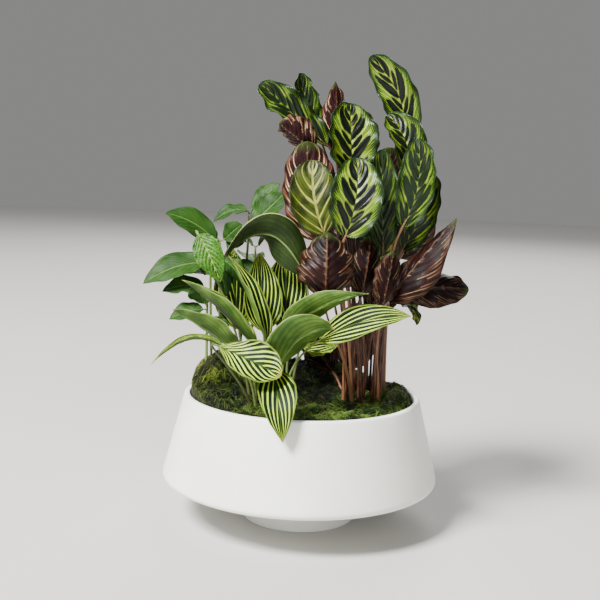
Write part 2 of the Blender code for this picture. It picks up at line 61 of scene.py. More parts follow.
# Potting mix and moss
MIX_TOP = 114.0
CROWN_DEPTH = 20.0
STEM_DEPTH = 30.0
MOSS_EDGE = 131.0
MOSS_RADIUS = 123.6
# Where shade is painted on the moss under the plants: the middle of that patch and its half sizes
PAINTED_SHADE_CENTRE = (6.0, 36.0)
PAINTED_SHADE_RADII = (66.0, 76.0)
MOSS_STEPS_OUT = 70
MOSS_STEPS_ROUND = 300
STRAND_SEED = 41
STRANDS_PER_PATCH = 3900
STRAND_RINGS = 5
STRAND_SIDES = 3

# Blades and stalks
GAP = 0.3
BLADE_FOOT_HALF = 0.9
BLADE_TIP_HALF = 0.4
WAVES_PER_BLADE = 2.0
BLADE_STEPS = 60
BLADE_STRIPS = 28
SMALL_STEPS = 40
SMALL_STRIPS = 20
STALK_RINGS = 30
STALK_SIDES = 12
LONGEST_LEAD = 40.0
CROWN_SIDES = 32
STEM_FOOT_RADIUS = 1.9
STEM_TOP_RADIUS = 1.3
TWIG_RADIUS = 0.9
TWIG_RINGS = 9
TWIG_SIDES = 8

# Marks: stripes, and pairs of lenses, from base to tip, and for the long and the short lens of a
# pair its place in the pair, its thickness as a share of the pair, and how far out it reaches
STRIPES = 3.2
LENS_PAIRS = 3.2
LENSES = ((0.30, 0.285, 0.72), (0.79, 0.165, 0.42))

# Floor, lights and camera, in metres and degrees
LIGHTS_AIM = (0, 0, 0.22)
FLOOR_REACH = 7.0
FLOOR_SIDES = 96
CAMERA_PLACE = (-0.00595, -1.110, 0.393)
CAMERA_PITCH = -7.63
CAMERA_ROLL = 2.0
CAMERA_LENS = 60.7
SENSOR_WIDTH = 36.0

# Outline of a blade: half width goes as s to the first power times (1 - s) to the second
ROUND = (0.50, 0.55)
LANCE = (0.62, 1.00)
THIN_TIP = (0.70, 1.50)
OVAL = (0.75, 0.90)
SPOON = (1.15, 0.75)

Leaf = namedtuple(
    "Leaf",
    "base tip width face bow cup twist wave foot outline",
    defaults=((0, 0, 0), 0.5, 0, 1.5, None, None),
)


def leaf_rows(*rows):
    return [Leaf(*row) for row in rows]


# Each row: where the blade starts, where it ends, width, way that the upper side looks,
# bow of the midrib, half angle of the cupped cross-section, twist in degrees, height of the edge
# waves, where the stalk stands in the pot, and an outline other than the plant's own
PEACOCK_LEAVES = leaf_rows(
    ((103, -2, 424), (59, -12, 509), 42, (-0.1, -1, 0.1), (20, 0, 10), 0.5, 25, 3.0, (82, 4)),
    ((45, -22, 384), (40, -8, 460), 60, (0.35, -1, 0.2), (0, -16, 0), 0.6, 0, 2.0, (66, -4)),
    ((39, -54, 320), (48, -40, 402), 58, (0.1, -1, 0.25), (10, -20, 0), 0.5, 0, 1.5, (56, -16)),
    ((17, -48, 322), (3, -28, 398), 54, (-0.1, -1, 0.3), (-10, -12, 0), 0.5, 0, 1.5, (49, -12)),
    ((11, -18, 313), (-4, -6, 418), 64, (0.1, 1, -0.1), (-6, 6, 0), 0.5, 0, 2.5, (50, -10.5)),
    ((2, 6, 408), (-35, 0, 436), 46, (0.4, 1, 0.9), (-4, -4, 6), 0.8, 0, 1.5, (47, 2)),
    ((18, 26, 415), (-58, 22, 480), 44, (0.2, -1, 0.6), (-6, -8, 6), 0.7, 30, 3.0, (56, 10)),
    ((12, 52, 418), (-14, 50, 495), 34, (0.4, -1, 0.2), (-8, -6, 0), 1.1, 0, 1.5, (57, 12)),
    ((29, 36, 408), (25, 40, 486), 38, (-0.3, 1, 0.2), (2, 6, 0), 0.7, 10, 1.5, (65, 14), LANCE),
    ((106, -24, 382), (80, -12, 448), 46, (0.3, -1, 0.3), (14, -10, 14), 0.9, 0, 2.0, (83.5, 3)),
    ((100, -40, 332), (112, -28, 424), 46, (-0.35, -1, 0.1), (16, -10, 0), 0.8, 0, 2.5, (79, -9)),
    ((82, -22, 306), (76, -20, 412), 40, (0.1, -1, 0.1), (-2, -4, 0), 0.7, 0, 1.5, (67.5, -5)),
    ((104, -10, 306), (128, 0, 392), 46, (-0.3, -1, 0.1), (14, -6, 0), 0.8, 0, 2.0, (89, 4)),
    ((20, -72, 256), (20, -56, 324), 70, (0, 1, 0.1), (0, -24, 0), 0.9, 0, 4.0, (57, -17.5)),
    ((58, -44, 256), (66, -38, 320), 38, (-0.3, 1, 0), (2, -18, 0), 1.0, 0, 3.0, (66, -20)),
    ((89, -36, 252), (156, -44, 343), 58, (0.8, 0.6, -0.3), (-6, -8, -4), 0.9, 20, 2.0, (86, -13), LANCE),
    ((106, -12, 258), (176, -24, 265), 44, (0.1, 0.9, -0.5), (0, -6, 8), 0.6, 0, 2.5, (90.5, 3)),
    ((84, 14, 276), (74, 16, 356), 52, (0.1, -1, 0.1), (0, 4, 0), 0.5, 0, 2.0, (79, 10)),
    ((108, 20, 300), (126, 22, 356), 38, (-0.4, -1, 0.1), (8, 0, 0), 0.7, 0, 1.5, (93, 14)),
    ((81, -52, 248), (90, -54, 306), 32, (-0.3, 1, 0), (0, -6, 0), 0.9, 0, 2.0, (78, -10.5)),
    ((96, 42, 248), (130, 44, 214), 36, (0.6, -0.4, 0.8), (12, 0, 14), 0.4, 0, 1.5, (92, 15.5)),
    ((36, 62, 306), (22, 70, 386), 54, (-0.2, 1, 0.2), (-4, 16, 0), 0.5, 0, 2.0, (58, 28)),
    ((80, 64, 336), (92, 66, 416), 52, (0.2, 1, 0.2), (6, 14, 0), 0.5, 0, 2.0, (74, 26)),
    ((62, 84, 268), (58, 112, 328), 50, (0, 1, 0.4), (0, 18, 0), 0.5, 0, 2.0, (73, 28)),
    ((108, 58, 290), (136, 66, 350), 44, (0.6, 1, 0.2), (8, 10, 0), 0.6, 0, 2.0, (87, 28)),
    ((52, 48, 384), (58, 58, 456), 46, (0, 1, 0.2), (4, 8, 0), 0.6, 0, 2.0, (59.5, 27)),
    ((34, 40, 158), (-8, 46, 214), 46, (0.3, 1, 0.2), (-4, 0, 6), 0.5, 0, 2.0, (48.5, 14)),
    ((84, 56, 226), (98, 84, 282), 50, (0.2, 1, 0.3), (0, 8, 0), 0.5, 0, 2.0, (78, 30)),
    ((60, 62, 158), (64, 86, 232), 56, (0, 1, 0.25), (0, 6, 0), 0.5, 0, 2.0, (66, 34)),
)

STRIPED_LEAVES = leaf_rows(
    ((-30, -92, 182), (-18, -148, 123), 40, (0, -0.7, 0.7), (0, -22, 16), 0.35, 0, 1.0, (-30, -68)),
    ((-88, -94, 207), (-22, -120, 183), 48, (0.1, -0.8, 0.7), (0, -8, 4), 0.45, 0, 1.5, (-46, -64), SPOON),
    ((-85, -72, 203), (-158, -78, 182), 11, (0, -0.3, 1), (0, 0, 34), 1.2, 0, 0.5, (-47, -62.5)),
    ((-70, -62, 196), (-138, -74, 240), 48, (0.5, 0.6, 0.8), (0, 0, 6), 0.6, 0, 1.0, (-48, -54)),
    ((-50, -56, 198), (-131, -50, 268), 50, (0.6, 0.1, 0.75), (2, 0, 12), 1.1, 0, 1.0, (-47, -52.5)),
    ((-40, -50, 206), (-83, -32, 293), 38, (0.8, -0.35, 0.4), (2, 0, 6), 1.2, 0, 1.0, (-40, -44)),
    ((-26, -80, 184), (30, -92, 228), 60, (-0.55, 0.8, 0.5), (-10, -14, 26), 0.6, 0, 1.0, (-28.5, -67)),
    ((-22, -60, 216), (63, -104, 267), 40, (0.1, 0.7, 0.8), (0, -8, 20), 0.8, 0, 1.0, (-24, -52), THIN_TIP),
    ((16, -80, 214), (106, -106, 246), 34, (0.05, -1, 0.6), (0, -12, 18), 0.4, 0, 1.0, (-23, -53.5)),
    ((-44, -26, 212), (-52, -6, 296), 46, (0.25, -1, 0.1), (0, -2, 0), 0.6, 0, 1.0, (-39, -42.5)),
    ((-20, -12, 216), (-24, 8, 298), 56, (-0.2, -1, 0.1), (0, 4, 0), 0.6, 0, 1.0, (-26, -38)),
    ((-3, -32, 276), (-90, -30, 288), 50, (0, 0.7, 0.7), (4, 0, 74), 0.8, 110, 1.0, (-15, -46)),
    ((0, -60, 202), (36, -60, 206), 24, (0, -0.6, 0.8), (0, 0, -10), 0.8, 0, 1.0, (-14, -47.5)),
    ((-30, 10, 214), (-12, 32, 294), 42, (0, 1, 0.2), (0, 8, 0), 0.6, 0, 1.0, (-27, -36.5)),
    ((-74, 16, 207), (-87, 26, 301), 50, (0, -1, 0.15), (0, 4, 0), 0.5, 0, 1.0, (-37, -37)),
)

# Blades that differ from the others of their plant: numbers and, from 0 to 1, a tint for the finish.
# Peacock blades from 0.3 to 0.6 are darker with thicker lenses, partly as an older, deeper green and partly
# as painted shade, and pale red below from 0.6 on.
# Striped blades have few wide stripes from 0.3, many from 0.85 on, and at 0.5 their underside is painted
# dark as shade.
YOUNG_PEACOCK = 4
PEACOCK_TINTS = {
    1: 0.12, 3: 0.22, 5: 0.76, 6: 0.90, 7: 0.45, 8: 0.52, 9: 0.86, 10: 0.40, 11: 0.47, 12: 0.56,
    13: 0.43, 18: 0.50, 19: 0.55,
}
CROSSWISE_STRIPED = 2
STRIPED_TINTS = {1: 0.30, 2: 0.90, 6: 0.35, 9: 0.36, 10: 0.05, 11: 0.12, 12: 0.50, 13: 0.70, 15: 0.02}

MOTTLED_LEAF = Leaf(
    (-117, -28, 315), (-91, -42, 266), 32, (-0.1, -1, 0.2), (0, -8, 8), 0.3, 0, 1.0, (-54, -44), OVAL
)

# Where the crown of each large plant stands, its half sizes, and how thick its stalks start and end
Crown = namedtuple("Crown", "centre radii foot_radius top_radius")
PEACOCK_CROWN = Crown((70, 4), (32, 37), 1.7, 1.1)
STRIPED_CROWN = Crown((-35, -54), (29, 24), 1.5, 1.0)

# Each stem: where it enters the pot and where it ends, then its leaves
GREEN_STEMS = [
    ((-92, 10), (-97, 8, 306), leaf_rows(
        ((-101, 4, 307), (-156, -4, 335), 33, (-0.3, -0.9, 0.9), (0, 0, 12), 0.3),
        ((-101, 16, 309), (-131, 35, 315), 20, (0, -0.4, 1), (0, 0, 8), 0.3),
        ((-92, 4, 308), (-72, -6, 326), 24, (0, -1, 0.6), (0, 0, 2), 0.3),
        ((-94, 4, 286), (-72, -6, 262), 24, (0.3, -0.8, 0.5), (4, 0, 8), 0.3),
    )),
    ((-76, 30), (-66, 24, 336), leaf_rows(
        ((-68, 22, 340), (-106, 22, 326), 22, (0, -0.6, 1), (0, 0, 12), 0.3),
        ((-63, 26, 342), (-33, 30, 371), 25, (-0.3, -0.8, 0.7), (0, 0, 4), 0.3),
        ((-62, 16, 326), (-26, 12, 362), 36, (-0.5, -1, 0.5), (0, 0, 0), 0.3),
        ((-70, 16, 310), (-87, 0, 296), 24, (-0.2, -0.8, 0.8), (0, 0, 8), 0.3),
        ((-72, 18, 286), (-62, -4, 246), 28, (0.1, -1, 0.4), (2, 0, 6), 0.3),
    )),
    ((-100, -6), (-106, 4, 282), leaf_rows(
        ((-110, 2, 282), (-178, -12, 258), 37, (-0.1, -0.9, 0.9), (0, 0, 14), 0.3),
        ((-101, 0, 276), (-88, -10, 246), 20, (0.4, -0.9, 0.3), (6, 0, 6), 0.3),
        ((-112, 12, 268), (-150, 30, 272), 30, (-0.2, -0.3, 1), (0, 0, 12), 0.3),
        ((-104, -8, 222), (-86, -24, 196), 26, (0.2, -1, 0.5), (0, 0, 6), 0.3),
    )),
    ((-106, -14), (-108, -6, 254), leaf_rows(
        ((-112, -4, 254), (-158, -4, 249), 30, (0, -0.7, 1), (0, 0, 10), 0.3),
        ((-110, -12, 238), (-120, -26, 262), 28, (-0.5, -1, 0.3), (0, 0, 0), 0.3),
        ((-112, -10, 232), (-148, -16, 220), 26, (0, -0.7, 1), (0, 0, 6), 0.3),
    )),
    ((-62, 56), (-60, 66, 296), leaf_rows(
        ((-63, 68, 298), (-96, 84, 318), 30, (0, 0.4, 1), (0, 0, 12), 0.3),
        ((-57, 68, 298), (-26, 84, 322), 30, (0, 0.4, 1), (0, 0, 12), 0.3),
        ((-60, 70, 276), (-74, 116, 278), 34, (0, 0.3, 1), (0, 0, 16), 0.3),
        ((-62, 64, 256), (-104, 66, 256), 32, (0, 0.2, 1), (0, 0, 14), 0.3),
        ((-58, 66, 246), (-30, 100, 246), 32, (0, 0.2, 1), (0, 0, 14), 0.3),
    )),
]

# How each kind of blade is finished: how far and how straight its side veins run towards the tip,
# pleats from base to tip and their height, depth of the groove over the midrib, and heights of the
# ripples along the edge and of the broad buckles all over
Finish = namedtuple("Finish", "slope power pleats pleat_height groove ripple buckle")
PEACOCK_FINISH = Finish(0.44, 1.15, 8, 0.5, 0.7, 1.8, 1.5)
STRIPED_FINISH = Finish(1.6, 0.9, 4, 0.25, 0.8, 0.5, 0.8)
CROSSWISE_FINISH = STRIPED_FINISH._replace(slope=0.55, power=1.0, pleats=9)
MOTTLED_FINISH = Finish(0.45, 1.2, 8, 0.45, 0.6, 0.4, 0.6)
GREEN_FINISH = Finish(0.45, 1.2, 6, 0.14, 0.8, 0.3, 0.7)


def unit(vectors):
    return vectors / np.linalg.norm(vectors, axis=-1, keepdims=True)


def smooth(values, low, high):
    """0 below low, 1 above high, and a smooth rise of 3x2 - 2x3 between."""
    x = np.clip((values - low) / (high - low), 0, 1)
    return x * x * (3 - 2 * x)


def bezier(p0, p1, p2, p3, s):
    """Points and directions of the cubic curve with these four handles at each s."""
    s = s[:, None]
    r = 1 - s
    points = r**3 * p0 + 3 * r * r * s * p1 + 3 * r * s * s * p2 + s**3 * p3
    slopes = r * r * (p1 - p0) + 2 * r * s * (p2 - p1) + s * s * (p3 - p2)
    return points, unit(slopes)


def midrib(leaf, s):
    """The quadratic curve from base to tip whose handle is the chord's middle moved by the bow."""
    base, tip = np.array(leaf.base, float), np.array(leaf.tip, float)
    handle = (base + tip) / 2 + np.array(leaf.bow, float)
    s = s[:, None]
    points = (1 - s) ** 2 * base + 2 * s * (1 - s) * handle + s * s * tip
    slopes = (1 - s) * (handle - base) + s * (tip - handle)
    return points, unit(slopes)


def half_widths(leaf, shape, s):
    """The blade's outline, with a blunt start as wide as its stalk and a narrow blunt tip."""
    rise, fall = leaf.outline or shape
    peak = rise / (rise + fall)
    outline = s**rise * (1 - s) ** fall / (peak**rise * (1 - peak) ** fall)
    blunt = BLADE_FOOT_HALF + (BLADE_TIP_HALF - BLADE_FOOT_HALF) * s
    return np.hypot(leaf.width / 2 * outline, blunt)


def blade_points(leaf, shape, s, t):
    """Points of the blade's middle surface, s along the midrib and t across from -1 to 1.

    Each cross-section is an arc that opens to the upper side, turned about the midrib by the twist,
    and the edges rise and fall in waves that grow with the square of t.
    """
    spine, ahead = midrib(leaf, s)
    side = unit(np.cross(ahead, np.array(leaf.face, float)))
    up = np.cross(side, ahead)
    turn = np.radians(leaf.twist) * (s - 0.5)[:, None]
    side, up = side * np.cos(turn) + up * np.sin(turn), up * np.cos(turn) - side * np.sin(turn)
    half = half_widths(leaf, shape, s)[:, None]
    across = half * np.sin(leaf.cup * t) / leaf.cup
    lift = half * (1 - np.cos(leaf.cup * t)) / leaf.cup
    wave = np.sin(2 * np.pi * WAVES_PER_BLADE * s[:, None] + np.where(t < 0, 2.0, 0.4))
    lift = lift + leaf.wave * wave * t * t * half / half.max()
    return spine[:, None] + across[..., None] * side[:, None] + lift[..., None] * up[:, None]


def surface_normals(points):
    along = np.gradient(points, axis=0)
    across = np.gradient(points, axis=1)
    return unit(np.cross(across, along))


def side_vein(s, t, slope, power):
    """The number of the side vein through each point: where it leaves the midrib, from 0 to 1.

    A vein that leaves at s0 reaches t at s0 plus slope times |t| to the power, so that it runs
    towards the tip. Veins numbered below 0 leave at the base.
    """
    return s[:, None] - slope * np.abs(t) ** power


def steps_along(count):
    """Places from 0 to 1, closer together at both ends."""
    even = np.linspace(0, 1, count + 1)
    return 0.5 * even + 0.25 * (1 - np.cos(np.pi * even))


def strips_across(count):
    """Places from -1 to 1, closer together at the midrib."""
    even = np.linspace(-1, 1, count + 1)
    return np.sign(even) * (0.4 * np.abs(even) + 0.6 * np.abs(even) ** 1.7)


def quad_halves(a, b, c, d):
    """The triangles of a grid of four-cornered cells."""
    return np.stack([np.stack([a, b, c], -1), np.stack([a, c, d], -1)]).reshape(-1, 3)


Shape = namedtuple("Shape", "points faces span vein under")


def blade_shape(leaf, shape, finish, steps, strips):
    """A closed blade with its pleats, buckles, midrib and rippled edge.

    The middle surface is lifted along its normal by a sine of the side vein's number and by two
    broad crossed sines, sunk by a narrow bell over the midrib and rippled at the edge. The two faces
    lie on either side of it, 0.3 mm away over most of the blade and 0.15 mm at the edge, with a
    rounded rib below.
    """
    s = steps_along(steps)
    t = strips_across(strips)
    middle = blade_points(leaf, shape, s, t)
    vein = side_vein(s, t, finish.slope, finish.power)
    half = half_widths(leaf, shape, s)[:, None]
    ends = smooth(s, 0, 0.15)[:, None] * smooth(1 - s, 0, 0.12)[:, None]
    inner = 1 - np.abs(t) ** 3
    pleat = finish.pleat_height * np.sin(2 * np.pi * finish.pleats * vein) * inner * ends
    bell = np.exp(-((t * half / 1.4) ** 2)) * smooth(1 - s, 0, 0.3)[:, None]
    phase = 0.1 * leaf.base[0] + 0.2 * leaf.tip[2]
    ripple = finish.ripple * np.sin(27 * s[:, None] + phase + np.where(t < 0, 1.1, 0.0)) * t**4 * ends
    crossed = np.sin(15 * s[:, None] + 4 * t + phase) * np.sin(9 * s[:, None] - 5 * t + phase)
    buckle = finish.buckle * crossed * (half / half.max()) * np.abs(t) * ends
    normals = surface_normals(middle)
    relief = pleat - finish.groove * bell + ripple + buckle
    middle = middle + normals * relief[..., None]
    normals = surface_normals(middle)
    thick = (0.3 - 0.15 * t**4) * np.ones_like(bell)
    upper = middle + normals * thick[..., None]
    lower = middle - normals * (thick + 0.9 * bell)[..., None]
    rows, columns = len(s), len(t)
    index = np.arange(rows * columns).reshape(rows, columns)
    top = quad_halves(index[:-1, :-1], index[:-1, 1:], index[1:, 1:], index[1:, :-1])
    bottom = top[:, ::-1] + rows * columns
    loop = np.concatenate([index[0, :-1], index[:-1, -1], index[-1, :0:-1], index[:0:-1, 0]])
    ahead = np.roll(loop, -1)
    rim = quad_halves(loop, loop + rows * columns, ahead + rows * columns, ahead)
    span = np.stack(np.broadcast_arrays(s[:, None], (t + 1) / 2), -1).reshape(-1, 2)
    rays = np.stack(np.broadcast_arrays(vein, t), -1).reshape(-1, 2)
    under = np.concatenate([np.zeros(len(top)), np.ones(len(bottom)), np.zeros(len(rim))])
    return Shape(
        np.stack([upper, lower]).reshape(-1, 3),
        np.concatenate([top, bottom, rim]),
        np.tile(span, (2, 1)),
        np.tile(rays, (2, 1)),
        under.astype(int),
    )


def plain_shape(points, faces, span=(0, 0)):
    """A shape with one material and the same map for both layers."""
    span = np.broadcast_to(span, (len(points), 2))
    return Shape(points, faces, span, span, np.zeros(len(faces), int))


def ring_points(centres, ways, aside, radii, sides):
    """A ring of points round each centre, square to the way there and turned by the vector aside."""
    right = unit(np.cross(ways, aside))
    front = np.cross(right, ways)
    angle = np.arange(sides) * 2 * np.pi / sides
    ring = np.cos(angle)[:, None] * right[..., None, :] + np.sin(angle)[:, None] * front[..., None, :]
    return centres[..., None, :] + radii[..., None, None] * ring


def tube_shape(centres, directions, radii, sides):
    """A closed round tube carried along a path, with u along it and v round it."""
    points = ring_points(centres, directions, [0.31, 0.95, 0.05], radii, sides).reshape(-1, 3)
    index = np.arange(len(points)).reshape(len(centres), sides)
    following = np.roll(index, -1, axis=1)
    walls = quad_halves(index[:-1], index[1:], following[1:], following[:-1])
    fan = np.arange(1, sides - 1)
    first = np.stack([0 * fan, fan, fan + 1], -1)
    last = np.stack([0 * fan, fan + 1, fan], -1) + index[-1, 0]
    faces = np.concatenate([walls, first, last])
    along = np.linspace(0, 1, len(centres))[:, None]
    span = np.stack(np.broadcast_arrays(along, np.arange(sides) / sides), -1).reshape(-1, 2)
    return plain_shape(points, faces, span)


def turned_shape(profile, sides):
    """An outline of radius and height turned about Z, closed on the axis at both ends."""
    profile = np.array(profile, float)
    angle = np.arange(sides) * 2 * np.pi / sides
    body = profile[1:-1]
    x = body[:, 0, None] * np.cos(angle)
    y = body[:, 0, None] * np.sin(angle)
    z = np.broadcast_to(body[:, 1, None], x.shape)
    hubs = [[0, 0, profile[0, 1]], [0, 0, profile[-1, 1]]]
    points = np.concatenate([np.stack([x, y, z], -1).reshape(-1, 3), hubs])
    index = np.arange(x.size).reshape(x.shape)
    following = np.roll(index, -1, axis=1)
    walls = quad_halves(index[:-1], following[:-1], following[1:], index[1:])
    start, end = np.full(sides, len(points) - 2), np.full(sides, len(points) - 1)
    bottom = np.stack([start, following[0], index[0]], -1)
    top = np.stack([end, index[-1], following[-1]], -1)
    return plain_shape(points, np.concatenate([walls, bottom, top]))


def together(shapes):
    """Several shapes in one, with the faces of each counted on from the last."""
    starts = np.cumsum([0] + [len(shape.points) for shape in shapes[:-1]])
    faces = [shape.faces + start for shape, start in zip(shapes, starts)]
    whole = Shape(*[np.concatenate(columns) for columns in zip(*shapes)])
    return whole._replace(faces=np.concatenate(faces))


def place_in_scene(name, data):
    made = bpy.data.objects.new(name, data)
    bpy.context.scene.collection.objects.link(made)
    return made


def make_piece(name, shape, materials, nodes, tint=0.0):
    """Puts a shape into a mesh, with its maps, and lets it ride in place of the named nodes."""
    mesh = bpy.data.meshes.new(name)
    mesh.vertices.add(len(shape.points))
    mesh.vertices.foreach_set("co", (shape.points * MM).astype(np.float32).ravel())
    corners = shape.faces.astype(np.int32).ravel()
    mesh.loops.add(len(corners))
    mesh.loops.foreach_set("vertex_index", corners)
    mesh.polygons.add(len(shape.faces))
    mesh.polygons.foreach_set("loop_start", np.arange(0, len(corners), 3, dtype=np.int32))
    mesh.polygons.foreach_set("material_index", shape.under.astype(np.int32))
    for layer, values in (("span", shape.span), ("vein", shape.vein)):
        mesh.uv_layers.new(name=layer).data.foreach_set("uv", values[corners].astype(np.float32).ravel())
    shade = mesh.attributes.new("tint", "FLOAT", "POINT")
    shade.data.foreach_set("value", np.broadcast_to(tint, len(shape.points)).astype(np.float32))
    for material in materials:
        mesh.materials.append(material)
    mesh.update()
    mesh.validate()
    mesh.polygons.foreach_set("use_smooth", np.ones(len(mesh.polygons), bool))
    piece = place_in_scene(name, mesh)
    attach(piece, "root")
    if nodes:
        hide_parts(*nodes)


def rounded(corners, steps=6, longest=10.0):
    """An outline through corners of (radius, height, fillet).

    Each corner becomes a quadratic curve between the points one fillet away on either side of it,
    and long straight runs are divided evenly.
    """
    corners = np.array(corners, float)
    points = [corners[0, :2]]
    for before, corner, after in zip(corners, corners[1:], corners[2:]):
        place, fillet = corner[:2], corner[2]
        start = place + unit(before[:2] - place) * fillet
        end = place + unit(after[:2] - place) * fillet
        u = np.linspace(0, 1, steps + 1)[:, None]
        points.extend((1 - u) ** 2 * start + 2 * u * (1 - u) * place + u * u * end)
    points.append(corners[-1, :2])
    outline = [points[0]]
    for point in points[1:]:
        count = max(1, math.ceil(np.linalg.norm(point - outline[-1]) / longest))
        outline.extend(np.linspace(outline[-1], point, count + 1)[1:])
    return outline


def make_bowl(material):
    """The bowl turned from one rounded outline: foot, shallow underside, belly, rim and hollow."""
    outline = rounded([
        (0, 0, 0),
        (FOOT_RADIUS, 0, 1.5),
        (FOOT_RADIUS, FOOT_HEIGHT + 0.5, 2.0),
        (BELLY_RADIUS + 1.1, BELLY_HEIGHT - 5.5, 6.0),
        (RIM_RADIUS, RIM_HEIGHT, 2.6),
        (RIM_RADIUS - WALL, RIM_HEIGHT, 2.4),
        (BELLY_RADIUS - WALL, BELLY_HEIGHT - 1, 6.0),
        (FOOT_RADIUS - 4, FLOOR + 12, 8.0),
        (FOOT_RADIUS - 14, FLOOR, 4.0),
        (0, FLOOR, 0),
    ])
    make_piece("bowl_body", turned_shape(outline, BOWL_STEPS_ROUND), [material], ["bowl"])


def moss_height(x, y):
    """A cushion with a mound at the left, a rise at the right rim and low lumps all over."""
    mound = 46 * np.exp(-(((x + 94) / 36) ** 2) - ((y - 2) / 70) ** 2)
    right = 12 * np.exp(-(((x - 108) / 22) ** 2) - ((y - 10) / 60) ** 2)
    back = 26 * np.exp(-(((x - 10) / 80) ** 2) - ((y - 88) / 46) ** 2)
    lumps = 2.2 * np.sin(x / 11 + 0.5) * np.sin(y / 9 + 1.0) + 1.4 * np.sin((x + y) / 6.5)
    return MOSS_EDGE + mound + right + back + lumps


def moss_tufts(x, y):
    """1 on the crown of a tuft and -1 in a hollow: crossed sines, bent so that no two are alike."""
    return np.sin(x / 4.3 + 1.7 * np.sin(y / 6.3)) * np.sin(y / 3.9 + 1.4 * np.sin(x / 5.9))


def moss_surface(x, y):
    """The cushion with tufts: crossed sines a few millimetres wide, and a rounded fall to the wall."""
    fall = 5 * smooth(np.hypot(x, y), 0.9 * MOSS_RADIUS, MOSS_RADIUS) ** 2
    return moss_height(x, y) + 2.6 * moss_tufts(x, y) - fall


def make_moss(material):
    """The cushion as a polar grid raised by its formula, with an upright edge and a level base."""
    reach = np.linspace(0, 1, MOSS_STEPS_OUT + 1)[1:, None] * MOSS_RADIUS
    angle = np.arange(MOSS_STEPS_ROUND) * 2 * np.pi / MOSS_STEPS_ROUND
    x, y = reach * np.cos(angle), reach * np.sin(angle)
    top = np.stack([x, y, moss_surface(x, y)], -1)
    foot = np.stack([x[-1], y[-1], np.full(MOSS_STEPS_ROUND, MIX_TOP + GAP)], -1)
    hubs = [[0, 0, moss_surface(0.0, 0.0)], [0, 0, MIX_TOP + GAP]]
    points = np.concatenate([top.reshape(-1, 3), foot, hubs])
    index = np.arange(len(points) - 2).reshape(-1, MOSS_STEPS_ROUND)
    following = np.roll(index, -1, axis=1)
    grid = quad_halves(index[:-1], index[1:], following[1:], following[:-1])
    crown, base = np.full(MOSS_STEPS_ROUND, len(points) - 2), np.full(MOSS_STEPS_ROUND, len(points) - 1)
    caps = [np.stack([crown, index[0], following[0]], -1), np.stack([base, following[-1], index[-1]], -1)]
    shape = plain_shape(points, np.concatenate([grid, *caps]))
    make_piece("moss_cushion", shape, [material], ["moss"], tint=moss_dryness(points))


def moss_dryness(points):
    """1 on the dry yellow-green left mound, falling to 0 on the deep green moss elsewhere."""
    return smooth(-points[:, 0], 62, 112) * smooth(points[:, 2], 132, 165)


def moss_painted_shade(points):
    """1 on the moss behind and between the two large plants, where shade is painted on it as a darker
    green, falling to 0 round it.
    """
    away = np.hypot(*((points[:, :2] - PAINTED_SHADE_CENTRE) / PAINTED_SHADE_RADII).T)
    return smooth(1 - away, 0.0, 0.6)


def make_strands(name, first_angle, last_angle, material, draw):
    """Thousands of short curled strands that lie over one sector of the cushion.

    A strand leaves its root in a random direction, swings sideways with the square of the way
    along, arches up by half a sine and follows the cushion's height under it. It is a three-sided
    tube that narrows to its tip.
    """
    count = STRANDS_PER_PATCH
    angle = draw.uniform(first_angle, last_angle, count)
    reach = (MOSS_RADIUS - 2.5) * np.sqrt(draw.uniform(0, 1, count))
    heading = draw.uniform(0, 2 * np.pi, count)
    length = draw.uniform(7, 17, count)
    swing = draw.uniform(-0.9, 0.9, count) * length
    arch = draw.uniform(0.06, 0.34, count) * length
    tip_rise = draw.uniform(-0.08, 0.36, count) ** 2 * 3 * length
    u = np.linspace(0, 1, STRAND_RINGS)
    x = (reach * np.cos(angle))[:, None] + np.outer(length * np.cos(heading), u)
    y = (reach * np.sin(angle))[:, None] + np.outer(length * np.sin(heading), u)
    x = x - np.outer(swing * np.sin(heading), u * u)
    y = y + np.outer(swing * np.cos(heading), u * u)
    inside = np.minimum(1, (MOSS_RADIUS - 0.6) / np.hypot(x, y))
    x, y = x * inside, y * inside
    lift = -0.8 + np.outer(arch, np.sin(np.pi * u)) + np.outer(tip_rise, u * u)
    centres = np.stack([x, y, moss_surface(x, y) + lift], -1)
    ways = unit(np.gradient(centres, axis=1))
    radii = np.outer(draw.uniform(0.4, 0.8, count), 1 - 0.75 * u)
    points = ring_points(centres, ways, [0.05, 0.02, 1.0], radii, STRAND_SIDES).reshape(count, -1, 3)
    one = tube_shape(np.zeros((STRAND_RINGS, 3)), np.tile([0.0, 0, 1], (STRAND_RINGS, 1)), u, STRAND_SIDES)
    faces = (one.faces + points.shape[1] * np.arange(count)[:, None, None]).reshape(-1, 3)
    span = np.tile(one.span, (count, 1))
    freshness = np.repeat(draw.uniform(0, 1, count), points.shape[1])
    points = points.reshape(-1, 3)
    vein = np.stack([freshness, moss_dryness(points)], -1)
    shape = Shape(points, faces, span, vein, np.zeros(len(faces), int))
    # The tint carries painted light on the crowns of the tufts and painted shade in their hollows and under
    # the plants
    painted_tuft_light = 0.5 + 0.5 * moss_tufts(points[:, 0], points[:, 1])
    make_piece(name, shape, [material], [], tint=painted_tuft_light - 1.2 * moss_painted_shade(points))


def make_moss_strands(material):
    """Strands over four quarters of the cushion, drawn in this order from one run of numbers."""
    draw = np.random.default_rng(STRAND_SEED)
    for side, first in (("left", 0.75), ("front", 1.25), ("right", -0.25), ("back", 0.25)):
        make_strands(f"moss_strands_{side}", first * np.pi, (first + 0.5) * np.pi, material, draw)


